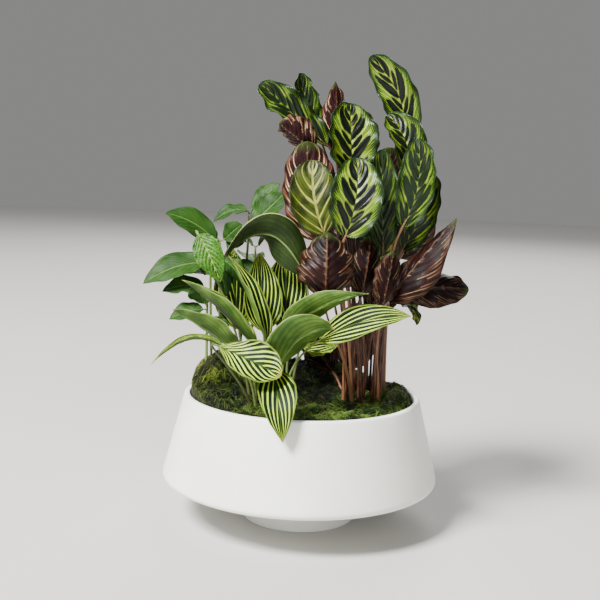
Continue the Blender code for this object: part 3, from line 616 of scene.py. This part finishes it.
def stalk_shape(leaf, floor, foot_radius, top_radius):
    """A stalk that rises from its foot, comes in along the blade and runs on under its midrib.

    It is thickest in the sheath at its foot, and swells again just below the blade.
    """
    base = np.array(leaf.base, float)
    _, start = midrib(leaf, np.array([0.0]))
    foot = np.array([*leaf.foot, floor], float)
    reach = np.linalg.norm(base - foot)
    rise = foot + np.array([0, 0, 0.5 * reach])
    near = base - start[0] * min(0.3 * reach, LONGEST_LEAD)
    s = np.linspace(0, 1, STALK_RINGS)
    path, ways = bezier(foot, rise, near, base - GAP * start[0], s)
    under, under_ways = midrib(leaf, np.array([0.02, 0.05, 0.09]))
    side = unit(np.cross(under_ways, np.array(leaf.face, float)))
    under = under - 0.5 * np.cross(side, under_ways)
    sheath = 0.45 * foot_radius * np.exp(-((s * reach / 34) ** 2))
    swelling = 0.35 * top_radius * np.exp(-((((1 - s) * reach - 9) / 6) ** 2))
    radii = foot_radius + (top_radius - foot_radius) * s + sheath + swelling
    radii = np.concatenate([radii, top_radius * np.array([0.9, 0.7, 0.35])])
    return tube_shape(np.concatenate([path, under]), np.concatenate([ways, under_ways]), radii, STALK_SIDES)


def crown_shape(crown, bottom, top):
    """The hidden crown that the stalks grow from: a rounded post of oval section."""
    outline = rounded([(0, bottom, 0), (1, bottom, 0.1), (1, top, 0.1), (0, top, 0)])
    post = turned_shape(outline, CROWN_SIDES)
    return post._replace(points=post.points * [*crown.radii, 1] + [*crown.centre, 0])


def make_clump(plant, leaves, crown, material):
    """All the stalks of one plant with the crown that they grow from."""
    floor = MIX_TOP - GAP - CROWN_DEPTH / 2
    shapes = [crown_shape(crown, floor - CROWN_DEPTH / 2, MIX_TOP - GAP)]
    shapes += [stalk_shape(leaf, floor, crown.foot_radius, crown.top_radius) for leaf in leaves]
    numbers = np.concatenate([np.full(len(shape.points), k) for k, shape in enumerate(shapes)])
    tint = np.sin(numbers * 2.4) * 0.5 + 0.5
    make_piece(f"{plant}_stems", together(shapes), [material], [f"{plant}_stalks"], tint)


def make_blades(plant, leaves, outline, tints, usual, others):
    """One piece for each blade of a plant, with the usual finish and materials or, by number, others."""
    for number, leaf in enumerate(leaves, start=1):
        finish, materials = others.get(number, usual)
        shape = blade_shape(leaf, outline, finish, BLADE_STEPS, BLADE_STRIPS)
        tint = tints.get(number, 0.03 * (number % 8))
        piece, node = f"{plant}_blade_{number:02d}", f"{plant}_leaf_{number:02d}"
        make_piece(piece, shape, materials, [node], tint)


def make_green_stem(number, foot, apex, leaves, materials):
    """One leafy stem: an upright stem with its leaves held to it by short stalks."""
    low = np.array([*foot, MIX_TOP - STEM_DEPTH], float)
    high = np.array(apex, float)
    s = np.linspace(0, 1, STALK_RINGS)
    path, ways = bezier(low, low + (0, 0, 70), high - (0, 0, 60), high, s)
    radii = STEM_FOOT_RADIUS + (STEM_TOP_RADIUS - STEM_FOOT_RADIUS) * s
    shapes = [tube_shape(path, ways, radii, STALK_SIDES)]
    for leaf in leaves:
        blade = blade_shape(leaf, OVAL, GREEN_FINISH, SMALL_STEPS, SMALL_STRIPS)
        shapes.append(blade._replace(under=blade.under + 1))
        base = np.array(leaf.base, float)
        nearest = path[np.argmin(np.linalg.norm(path - base, axis=1))]
        start, ahead = midrib(leaf, np.array([0.06]))
        u = np.linspace(0, 1, TWIG_RINGS)
        twig = bezier(nearest, (nearest + base) / 2, base - ahead[0] * 2, start[0], u)
        shapes.append(tube_shape(*twig, TWIG_RADIUS * (1 - 0.45 * u), TWIG_SIDES))
    make_piece(
        f"green_spray_{number}", together(shapes), materials, [f"green_stem_{number}"],
        tint=0.5 + 0.5 * math.sin(number * 2.4),
    )


def colour(red, green, blue):
    """A colour given as screen values from 0 to 255, as the linear light that shaders use."""
    screen = np.array([red, green, blue]) / 255
    light = np.where(screen < 0.04045, screen / 12.92, ((screen + 0.055) / 1.055) ** 2.4)
    return (*light.tolist(), 1.0)


def new_node(tree, kind, inputs, **settings):
    """A shader node with its settings, and each input joined to a value or set to a plain one."""
    made = tree.nodes.new(kind)
    for name, value in settings.items():
        setattr(made, name, value)
    for key, value in inputs.items():
        if isinstance(value, Value):
            tree.links.new(value.socket, made.inputs[key])
        else:
            made.inputs[key].default_value = value
    return made


class Value:
    """A value that changes over a surface. Sums and products of it add the nodes that work them out."""

    def __init__(self, tree, socket):
        self.tree = tree
        self.socket = socket

    def through(self, kind, inputs, output=0, **settings):
        return Value(self.tree, new_node(self.tree, kind, inputs, **settings).outputs[output])

    def maths(self, operation, *values):
        return self.through("ShaderNodeMath", dict(enumerate([self, *values])), operation=operation)

    def __add__(self, other):
        return self.maths("ADD", other)

    def __sub__(self, other):
        return self.maths("SUBTRACT", other)

    def __mul__(self, other):
        return self.maths("MULTIPLY", other)

    def __abs__(self):
        return self.maths("ABSOLUTE")

    def rest(self):
        """What is left of 1."""
        return self.maths("MULTIPLY_ADD", -1.0, 1.0)

    def zigzag(self):
        """0 at each whole number and 0.5 half way between."""
        return self.maths("PINGPONG", 0.5)


def ramp(value, low, high, start=0.0, end=1.0):
    """A smooth step of a value from start, at low, to end, at high."""
    inputs = {0: value, 1: low, 2: high, 3: start, 4: end}
    return value.through("ShaderNodeMapRange", inputs, interpolation_type="SMOOTHSTEP")


def blend(factor, first, second):
    """The first colour where the factor is 0 and the second where it is 1."""
    first, second = (tone if isinstance(tone, Value) else colour(*tone) for tone in (first, second))
    return factor.through("ShaderNodeMix", {0: factor, 6: first, 7: second}, 2, data_type="RGBA")


def noise(place, scale, detail=2.0, roughness=0.5):
    """Soft random clouds from 0 to 1, with this many to a metre or to a whole blade."""
    inputs = {"Vector": place, "Scale": scale, "Detail": detail, "Roughness": roughness}
    return place.through("ShaderNodeTexNoise", inputs)


def joined(first, second, third):
    """A place with these three values as its coordinates."""
    return first.through("ShaderNodeCombineXYZ", {0: first, 1: second, 2: third})


def parts(vector):
    """The three coordinates of a place or a map."""
    split = new_node(vector.tree, "ShaderNodeSeparateXYZ", {0: vector})
    return [Value(vector.tree, socket) for socket in split.outputs]


def new_group(name, inputs, outputs):
    """An empty shader group and the values given to it: vectors, and numbers with a usual value."""
    group = bpy.data.node_groups.new(name, "ShaderNodeTree")
    for socket, usual in inputs.items():
        kind = "NodeSocketVector" if usual is None else "NodeSocketFloat"
        made = group.interface.new_socket(name=socket, in_out="INPUT", socket_type=kind)
        if usual is not None:
            made.default_value = usual
    for socket in outputs:
        group.interface.new_socket(name=socket, in_out="OUTPUT", socket_type="NodeSocketFloat")
    given = new_node(group, "NodeGroupInput", {}).outputs
    return group, [Value(group, given[socket]) for socket in inputs]


def put_out(group, results):
    """Joins results to the group's outputs of the same names."""
    new_node(group, "NodeGroupOutput", results)


def peacock_marks():
    """The pattern of a peacock blade: dark lenses, long and short in turn, along its side veins.

    A lens is as thick at a share u of its length as (4 u (1 - u)) to the power 0.5, which makes it
    an ellipse. In: the side vein's number and the place across, and the blade's tint, which shifts
    the lenses. Out: the lenses, the darker ground round them, fine lines along the veins, the middle
    of the bands between the lenses, the dark feathered margin and the midrib.
    """
    outputs = ["Lens", "Halo", "Hair", "Band", "Margin", "Midrib"]
    group, (map_of_veins, tint) = new_group("peacock_marks", {"Vein": None, "Tint": 0.5}, outputs)
    vein, across, _ = parts(map_of_veins)
    away = abs(across)
    wander = (noise(joined(vein, across, tint), 3.2, 3.0) - 0.5) * 0.09
    other_side = across.maths("GREATER_THAN", 0.0) * 0.07
    place = (vein + wander + tint * 7.0 + other_side) * LENS_PAIRS
    turn = place.maths("FRACT")
    fields = []
    for middle, thickness, length in LENSES:
        share = (away + 0.02).maths("DIVIDE", length)
        thick = (share * share.rest() * 4.0).maths("MAXIMUM", 0.0).maths("POWER", 0.5)
        fields.append(thick * thickness - abs(turn - middle))
    # Blades tinted from 0.3 on get thicker lenses: partly a deeper green, partly painted shade
    field = fields[0].maths("MAXIMUM", fields[1]) + ramp(tint, 0.3, 0.5, 0.0, 0.045)
    hair = ramp(ramp(away, 0.4, 0.95, 0.07, 0.34) - (place * 7.0).zigzag(), -0.05, 0.05)
    put_out(group, {
        "Lens": ramp(field, -0.012, 0.022),
        "Halo": ramp(field, -0.12, 0.0),
        "Hair": hair,
        "Band": ramp(field, -0.03, -0.10),
        "Margin": ramp(away + wander + hair * 0.12, 0.73, 0.94),
        "Midrib": ramp(away, 0.035, 0.012),
    })
    return group


def stripe_marks():
    """The stripes of a striped blade, which run out along its side veins and taper at both ends.

    In: the side vein's number and the place across, and the blade's tint, which sets how wide and
    how close the stripes are. Out: the stripes, the green margin and the midrib.
    """
    outputs = ["Stripe", "Margin", "Midrib"]
    group, (map_of_veins, tint) = new_group("stripe_marks", {"Vein": None, "Tint": 0.5}, outputs)
    vein, across, _ = parts(map_of_veins)
    away = abs(across)
    seed = joined(vein, across, tint)
    wander = (noise(seed, 4.0) - 0.5) * 0.03
    other_side = across.maths("GREATER_THAN", 0.0) * 0.04
    count = ramp(tint, 0.15, 0.28, 1.0, 0.78) * STRIPES * ramp(tint, 0.75, 0.85, 1.0, 2.9)
    fine = ((vein + wander + other_side) * count).zigzag()
    uneven = (noise(seed, 7.0) - 0.5) * 0.08
    tapered = ramp(away, 0.0, 0.22, 0.5, 1.0) * ramp(away, 0.98, 0.75, 0.3, 1.0)
    half = (ramp(tint, 0.0, 1.0, 0.135, 0.20) + uneven) * tapered
    margin = ramp(away, 0.90, 0.95)
    put_out(group, {
        "Stripe": ramp(half - fine, -0.025, 0.025) * ramp(away, 0.015, 0.06) * margin.rest(),
        "Margin": margin,
        "Midrib": ramp(away, 0.045, 0.02),
    })
    return group


def leaf_relief():
    """The fine relief of every blade: veins along the side veins over a faint cellular grain."""
    inputs = {"Vein": None, "Place": None, "Count": 34.0}
    group, (map_of_veins, place, count) = new_group("leaf_relief", inputs, ["Height", "Patches"])
    vein, _, _ = parts(map_of_veins)
    put_out(group, {
        "Height": (vein * count).zigzag() + noise(place, 900.0, 3.0) * 0.5,
        "Patches": noise(place, 55.0, 3.0, 0.6),
    })
    return group


class FinishTree:
    """A new material's tree with its shader, and the maps of the piece that wears it."""

    def __init__(self, name, roughness, shine=0.35):
        self.material = bpy.data.materials.new(name)
        self.material.use_nodes = True
        self.tree = self.material.node_tree
        self.shader = self.tree.nodes["Principled BSDF"]
        self.shader.inputs["Roughness"].default_value = roughness
        self.shader.inputs["Specular IOR Level"].default_value = shine
        self.place = self.source("ShaderNodeTexCoord", "Object")
        self.tint = self.source("ShaderNodeAttribute", "Fac", attribute_name="tint")
        self.span = self.source("ShaderNodeUVMap", "UV", uv_map="span")
        self.vein = self.source("ShaderNodeUVMap", "UV", uv_map="vein")

    def source(self, kind, output, **settings):
        return Value(self.tree, new_node(self.tree, kind, {}, **settings).outputs[output])

    @property
    def along(self):
        """0 at the base of the piece and 1 at its tip."""
        return parts(self.span)[0]

    def use(self, group, **inputs):
        """What a shared group puts out when it is fed with this piece's maps."""
        maps = {"Vein": self.vein, "Place": self.place, "Tint": self.tint}
        asked = [item.name for item in group.interface.items_tree if item.in_out == "INPUT"]
        inputs.update({name: value for name, value in maps.items() if name in asked})
        made = new_node(self.tree, "ShaderNodeGroup", inputs, node_tree=group)
        return {socket.name: Value(self.tree, socket) for socket in made.outputs}

    def ground(self, factor, first, second):
        """Paints all of it with a blend of two colours."""
        self.painted = blend(factor, first, second)
        self.tree.links.new(self.painted.socket, self.shader.inputs["Base Color"])

    def coat(self, factor, tone):
        """Paints a colour, as thick as the factor, over what is painted so far."""
        self.ground(factor, self.painted, tone)

    def roughen(self, result):
        self.tree.links.new(result.socket, self.shader.inputs["Roughness"])

    def raise_by(self, height, distance):
        """Shades the surface as if it stood this many metres higher where the height is 1."""
        bump = new_node(self.tree, "ShaderNodeBump", {"Height": height, "Distance": distance})
        self.tree.links.new(bump.outputs[0], self.shader.inputs["Normal"])


class BladeTree(FinishTree):
    """A blade's material: its side veins by number, the way out from the midrib, and its relief."""

    def __init__(self, name, roughness, shine, relief, **inputs):
        super().__init__(name, roughness, shine)
        self.number, across, _ = parts(self.vein)
        self.away = abs(across)
        skin = self.use(relief, **inputs)
        self.height, self.patches = skin["Height"], skin["Patches"]


def ceramic_finish():
    """Matte white stoneware: faint clouds of warm and cool, and a grain as fine as flour."""
    finish = FinishTree("matte_white_ceramic", 0.42)
    clouds = noise(finish.place, 9.0, 3.0)
    finish.ground(ramp(clouds, 0.35, 0.65), (247, 248, 242), (240, 239, 232))
    specks = ramp(noise(finish.place, 620.0, 1.0), 0.70, 0.78)
    finish.coat(specks * 0.25, (205, 200, 190))
    finish.roughen(ramp(clouds, 0.3, 0.7, 0.38, 0.48))
    finish.raise_by(noise(finish.place, 900.0, 3.0), 0.00005)
    return finish.material


def mix_finish():
    """Peat with pale fibres and white grains of perlite."""
    finish = FinishTree("dark_peat", 0.95)
    clods = noise(finish.place, 180.0, 5.0, 0.65)
    finish.ground(ramp(clods, 0.35, 0.65), (30, 22, 16), (74, 54, 38))
    finish.coat(ramp(noise(finish.place, 260.0, 1.0), 0.72, 0.76), (205, 200, 190))
    finish.raise_by(clods, 0.002)
    return finish.material


def moss_cushion_finish():
    """The dark inner moss, deep green at the front and yellow-brown on the dry mound."""
    finish = FinishTree("moss_cushion", 0.9)
    tufts = noise(finish.place, 210.0, 4.0, 0.7)
    lit = ramp(tufts, 0.4, 0.68)
    green, dry = blend(lit, (7, 10, 4), (38, 52, 15)), blend(lit, (18, 20, 4), (75, 81, 22))
    finish.ground(finish.tint, green, dry)
    finish.raise_by(tufts, 0.003)
    return finish.material


def moss_strand_finish():
    """Strands of many greens: each has its own freshness, with painted light on the crowns of the tufts and
    towards its tip, and painted shade in the hollows, at its root and under the plants.
    """
    finish = FinishTree("moss_strands", 0.6, 0.2)
    freshness, dryness, _ = parts(finish.vein)
    patches = ramp(noise(finish.place, 30.0, 3.0), 0.38, 0.64)
    # Over each strand's own freshness: painted shade at its root rising to painted light at its tip, and
    # the tint's painted light and shade
    shade = (freshness * 0.7 + finish.along * 0.2 + finish.tint * 0.35) * (patches * 0.6 + 0.55)
    finish.ground(ramp(shade, 0.25, 1.0), (6, 16, 4), (97, 129, 42))
    finish.coat(ramp(freshness, 0.93, 0.96, 0.0, 0.8), (88, 67, 32))
    finish.coat(dryness, blend(ramp(shade, 0.3, 1.1), (12, 17, 3), (116, 127, 37)))
    return finish.material


def peacock_upper_finish(marks, relief):
    """The upper side: dark lenses and fine lines on a bright ground, with a feathered dark margin."""
    leaf = BladeTree("peacock_upper", 0.3, 0.18, relief)
    mark = leaf.use(marks)
    leaf.ground(ramp(leaf.away, 0.05, 0.8), (174, 186, 60), (112, 143, 29))
    leaf.coat(ramp(leaf.patches, 0.4, 0.7, 0.0, 0.5), (84, 116, 24))
    leaf.coat(mark["Halo"] * 0.75, (50, 76, 17))
    leaf.coat(mark["Hair"] * 0.72, (24, 46, 10))
    leaf.coat(mark["Lens"], (8, 15, 8))
    leaf.coat(mark["Midrib"] * 0.85, (18, 40, 16))
    # Blades tinted above 0.25 are darkened: partly an older, deeper green, partly painted shade
    leaf.coat(ramp(leaf.tint, 0.25, 0.6, 0.0, 0.65), (20, 36, 9))
    leaf.coat(mark["Margin"].maths("MAXIMUM", ramp(leaf.along, 0.93, 0.985)), (22, 41, 15))
    leaf.roughen(ramp(leaf.patches, 0.3, 0.7, 0.26, 0.40))
    leaf.raise_by(leaf.height, 0.00014)
    return leaf.material


def peacock_under_finish(marks, relief):
    """The underside: deep maroon, a lighter red between the lenses, and thin cream lines there."""
    leaf = BladeTree("peacock_under", 0.38, 0.12, relief)
    mark = leaf.use(marks)
    pale = ramp(leaf.tint, 0.6, 0.85)
    leaf.ground(ramp(leaf.patches, 0.35, 0.65), (30, 9, 7), (14, 4, 4))
    leaf.coat(pale * 0.5, (46, 15, 17))
    leaf.coat(mark["Band"] * (pale * 0.58 + 0.22), (94, 56, 40))
    fine = (leaf.number * 18.0 + 0.2).zigzag()
    lines = ramp(fine - ramp(pale, 0.0, 1.0, 0.09, 0.20), 0.05, -0.05) * mark["Band"]
    lines = lines * ramp(leaf.patches, 0.34, 0.56, 0.25, 1.0)
    lines = lines * ramp(leaf.away, 0.98, 0.7) * ramp(pale, 0.0, 1.0, 0.4, 0.9)
    leaf.coat(lines, (196, 172, 128))
    leaf.coat(ramp(leaf.away, 0.94, 1.0, 0.0, 0.6), (39, 47, 23))
    leaf.coat(ramp(leaf.along, 0.86, 1.0, 0.0, 0.8), (40, 58, 16))
    leaf.coat(mark["Midrib"] * 0.7, (84, 56, 36))
    leaf.roughen(ramp(leaf.patches, 0.3, 0.7, 0.36, 0.5))
    leaf.raise_by(leaf.height, 0.0002)
    return leaf.material


def young_peacock_finish(relief):
    """The upper side of a young peacock blade: olive green with broad pale veins and no dark marks."""
    leaf = BladeTree("young_peacock_upper", 0.4, 0.15, relief)
    ray = (leaf.number * 5.0).zigzag()
    width = ramp(leaf.away, 0.1, 0.9, 0.15, 0.02) * ramp(leaf.patches, 0.3, 0.6, 0.3, 1.0)
    leaf.ground(ramp(leaf.patches, 0.36, 0.66), (57, 68, 8), (25, 34, 5))
    leaf.coat(ramp(ray, 0.34, 0.5, 0.0, 0.6), (23, 33, 4))
    leaf.coat(ramp(width - ray, -0.06, 0.05, 0.0, 0.85), (144, 144, 66))
    leaf.coat(ramp(leaf.away, 0.07, 0.03), (122, 125, 58))
    leaf.coat(ramp(leaf.away, 0.74, 1.0), (24, 34, 8))
    leaf.raise_by(leaf.height, 0.0002)
    return leaf.material


def striped_upper_finish(marks, relief):
    """Pale stripes along the side veins of a deep green blade, with a yellowing tip."""
    leaf = BladeTree("striped_upper", 0.45, 0.1, relief, Count=16.0)
    mark = leaf.use(marks)
    pale = blend(ramp(leaf.patches, 0.4, 0.7), (176, 202, 74), (148, 182, 54))
    leaf.ground(ramp(leaf.patches, 0.35, 0.65), (14, 36, 8), (7, 20, 5))
    leaf.coat(mark["Stripe"], pale)
    leaf.coat(mark["Midrib"] * 0.55, (60, 84, 26))
    leaf.coat(mark["Margin"] * 0.35, pale)
    leaf.coat(ramp(leaf.along, 0.93, 1.0), (130, 119, 56))
    leaf.raise_by(leaf.height, 0.00015)
    return leaf.material


def striped_under_finish(relief):
    """The plain underside: grey green, with the side veins a little darker and a pale midrib, and on a
    blade tinted near 0.5 painted shade all over and a brighter cream edge.
    """
    leaf = BladeTree("striped_blade_under", 0.45, 0.15, relief, Count=16.0)
    ray = (leaf.number * 3.2).zigzag()
    # 1 on a blade tinted near 0.5, whose underside gets painted shade
    shade = ramp(abs(leaf.tint - 0.5), 0.06, 0.02)
    leaf.ground(ramp(leaf.patches, 0.3, 0.7), (82, 112, 41), (50, 79, 26))
    leaf.coat(ramp(ray, 0.30, 0.48, 0.0, 0.5), (30, 54, 14))
    leaf.coat(ramp(ray, 0.05, 0.01, 0.0, 0.3), (120, 144, 72))
    leaf.coat(shade * 0.8, (14, 20, 8))
    leaf.coat(ramp(leaf.away, 0.04, 0.015, 0.0, 0.8), (106, 126, 68))
    leaf.coat(ramp(leaf.away, 0.955, 0.99, 0.0, ramp(shade, 0.0, 1.0, 0.5, 1.0)), (160, 162, 104))
    leaf.coat(ramp(leaf.along, 0.93, 1.0), (162, 149, 83))
    leaf.raise_by(leaf.height, 0.0002)
    return leaf.material


def mottled_upper_finish(relief):
    """Bright green with pale side veins and a net of finer pale veins between them."""
    leaf = BladeTree("mottled_upper", 0.4, 0.15, relief, Count=16.0)
    inputs = {"Vector": leaf.place, "Scale": 300.0}
    cells = leaf.place.through("ShaderNodeTexVoronoi", inputs, "Distance", feature="DISTANCE_TO_EDGE")
    width = ramp(leaf.away, 0.1, 0.95, 0.10, 0.0)
    leaf.ground(ramp(leaf.patches, 0.35, 0.65), (34, 81, 9), (18, 57, 5))
    leaf.coat(ramp(cells, 0.16, 0.03, 0.0, 0.6), (75, 112, 33))
    leaf.coat(ramp(width - (leaf.number * 8.0).zigzag(), -0.05, 0.05, 0.0, 0.6), (91, 123, 43))
    leaf.coat(ramp(leaf.away, 0.08, 0.03), (96, 123, 49))
    leaf.raise_by(cells, 0.0004)
    return leaf.material


def green_blade_finish(relief, name, light, dark, rib, roughness):
    """A blade of one green with paler side veins and midrib."""
    leaf = BladeTree(name, roughness, 0.12, relief, Count=12.0)
    leaf.ground(ramp(leaf.patches, 0.3, 0.7), light, dark)
    leaf.coat(ramp((leaf.number * 6.0).zigzag(), 0.07, 0.02, 0.0, 0.4), rib)
    leaf.coat(ramp(leaf.away, 0.07, 0.02), rib)
    leaf.raise_by(leaf.height, 0.00012)
    return leaf.material


def stalk_finish(name, foot, middle, top, streak):
    """A stalk that changes colour from foot to blade, streaked along its length."""
    finish = FinishTree(name, 0.4)
    along, around, _ = parts(finish.span)
    streaks = noise(joined(along * 3.0, around, finish.tint), 9.0, 4.0, 0.6)
    finish.ground(ramp(along, 0.05, 0.55), foot, middle)
    finish.coat(ramp(along, 0.7, 0.98), top)
    finish.coat(ramp(streaks, 0.45, 0.7, 0.0, 0.6), streak)
    finish.coat(ramp(finish.tint, 0.6, 0.95, 0.0, 0.6), streak)
    finish.coat(ramp(finish.tint, 0.4, 0.05, 0.0, 0.5), (20, 14, 8))
    finish.raise_by(streaks, 0.0003)
    return finish.material


def floor_finish():
    """A plain pale matte sheet with a barely seen cloudiness."""
    finish = FinishTree("pale_floor", 0.8)
    finish.ground(noise(finish.place, 3.0), (186, 185, 182), (192, 190, 187))
    return finish.material


def blade_finishes():
    """The materials of each kind of blade, upper side first."""
    relief = leaf_relief()
    lenses = peacock_marks()
    peacock_under = peacock_under_finish(lenses, relief)
    striped_under = striped_under_finish(relief)
    return {
        "grown": [peacock_upper_finish(lenses, relief), peacock_under],
        "young": [young_peacock_finish(relief), peacock_under],
        "striped": [striped_upper_finish(stripe_marks(), relief), striped_under],
        "mottled": [mottled_upper_finish(relief), striped_under],
        "green": [
            green_blade_finish(relief, "green_upper", (37, 69, 17), (21, 51, 10), (75, 100, 45), 0.5),
            green_blade_finish(relief, "green_under", (59, 84, 35), (48, 74, 28), (86, 105, 55), 0.45),
        ],
    }


def add_light(name, place, size, power, tone):
    """A square soft light that looks at the middle of the plants."""
    data = bpy.data.lights.new(name, "AREA")
    data.size = size
    data.energy = power
    data.color = tone
    light = place_in_scene(name, data)
    light.location = place
    light.rotation_mode = "QUATERNION"
    light.rotation_quaternion = (Vector(LIGHTS_AIM) - Vector(place)).to_track_quat("-Z", "Y")


def make_stage():
    """A wide round pale floor, soft lights from above left, the front and behind, and a pale world."""
    around = np.arange(FLOOR_SIDES) * 2 * np.pi / FLOOR_SIDES
    edge = np.stack([FLOOR_REACH * np.cos(around), FLOOR_REACH * np.sin(around), 0 * around], -1)
    mesh = bpy.data.meshes.new("floor_sheet")
    mesh.from_pydata(edge.tolist(), [], [list(range(FLOOR_SIDES))])
    mesh.materials.append(floor_finish())
    floor = place_in_scene("floor_sheet", mesh)
    add_light("key_light", (-2.0, -1.9, 3.3), 1.2, 720.0, (1.0, 0.985, 0.96))
    add_light("fill_light", (1.0, -8.0, 1.8), 4.0, 185.0, (0.94, 0.97, 1.0))
    add_light("back_light", (0.7, 3.2, 2.7), 2.4, 130.0, (1.0, 1.0, 1.0))
    world = bpy.data.worlds.new("pale_room")
    world.use_nodes = True
    world.node_tree.nodes["Background"].inputs["Color"].default_value = colour(205, 204, 203)
    world.node_tree.nodes["Background"].inputs["Strength"].default_value = 0.42
    bpy.context.scene.world = world


def make_camera():
    data = bpy.data.cameras.new("camera")
    data.sensor_width = SENSOR_WIDTH
    data.lens = CAMERA_LENS
    camera = place_in_scene("camera", data)
    pitch = Matrix.Rotation(math.radians(90 + CAMERA_PITCH), 4, "X")
    roll = Matrix.Rotation(math.radians(CAMERA_ROLL), 4, "Z")
    camera.matrix_world = Matrix.Translation(CAMERA_PLACE) @ pitch @ roll
    bpy.context.scene.camera = camera


def make_object():
    """Every piece of the object with its finish: bowl, mix, moss, blades, stalks and green stems."""
    finishes = blade_finishes()
    brown_stalk = stalk_finish("brown_stalk", (62, 22, 16), (74, 38, 26), (92, 66, 36), (138, 98, 66))
    green_stalk = stalk_finish("green_stalk", (80, 71, 37), (83, 103, 47), (91, 113, 55), (109, 125, 68))
    make_bowl(ceramic_finish())
    mix_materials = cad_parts["potting_mix"].data.materials
    mix_materials.clear()
    mix_materials.append(mix_finish())
    make_moss(moss_cushion_finish())
    make_moss_strands(moss_strand_finish())
    make_blades(
        "peacock", PEACOCK_LEAVES, ROUND, PEACOCK_TINTS, (PEACOCK_FINISH, finishes["grown"]),
        {YOUNG_PEACOCK: (PEACOCK_FINISH, finishes["young"])},
    )
    make_blades(
        "striped", STRIPED_LEAVES, LANCE, STRIPED_TINTS, (STRIPED_FINISH, finishes["striped"]),
        {CROSSWISE_STRIPED: (CROSSWISE_FINISH, finishes["striped"])},
    )
    mottled = blade_shape(MOTTLED_LEAF, OVAL, MOTTLED_FINISH, BLADE_STEPS, BLADE_STRIPS)
    make_piece("mottled_blade", mottled, finishes["mottled"], ["mottled_leaf"], 0.3)
    make_clump("peacock", PEACOCK_LEAVES, PEACOCK_CROWN, brown_stalk)
    make_clump("striped", [*STRIPED_LEAVES, MOTTLED_LEAF], STRIPED_CROWN, green_stalk)
    for number, (foot, apex, leaves) in enumerate(GREEN_STEMS, start=1):
        make_green_stem(number, foot, apex, leaves, [green_stalk, *finishes["green"]])


make_stage()
make_camera()
make_object()
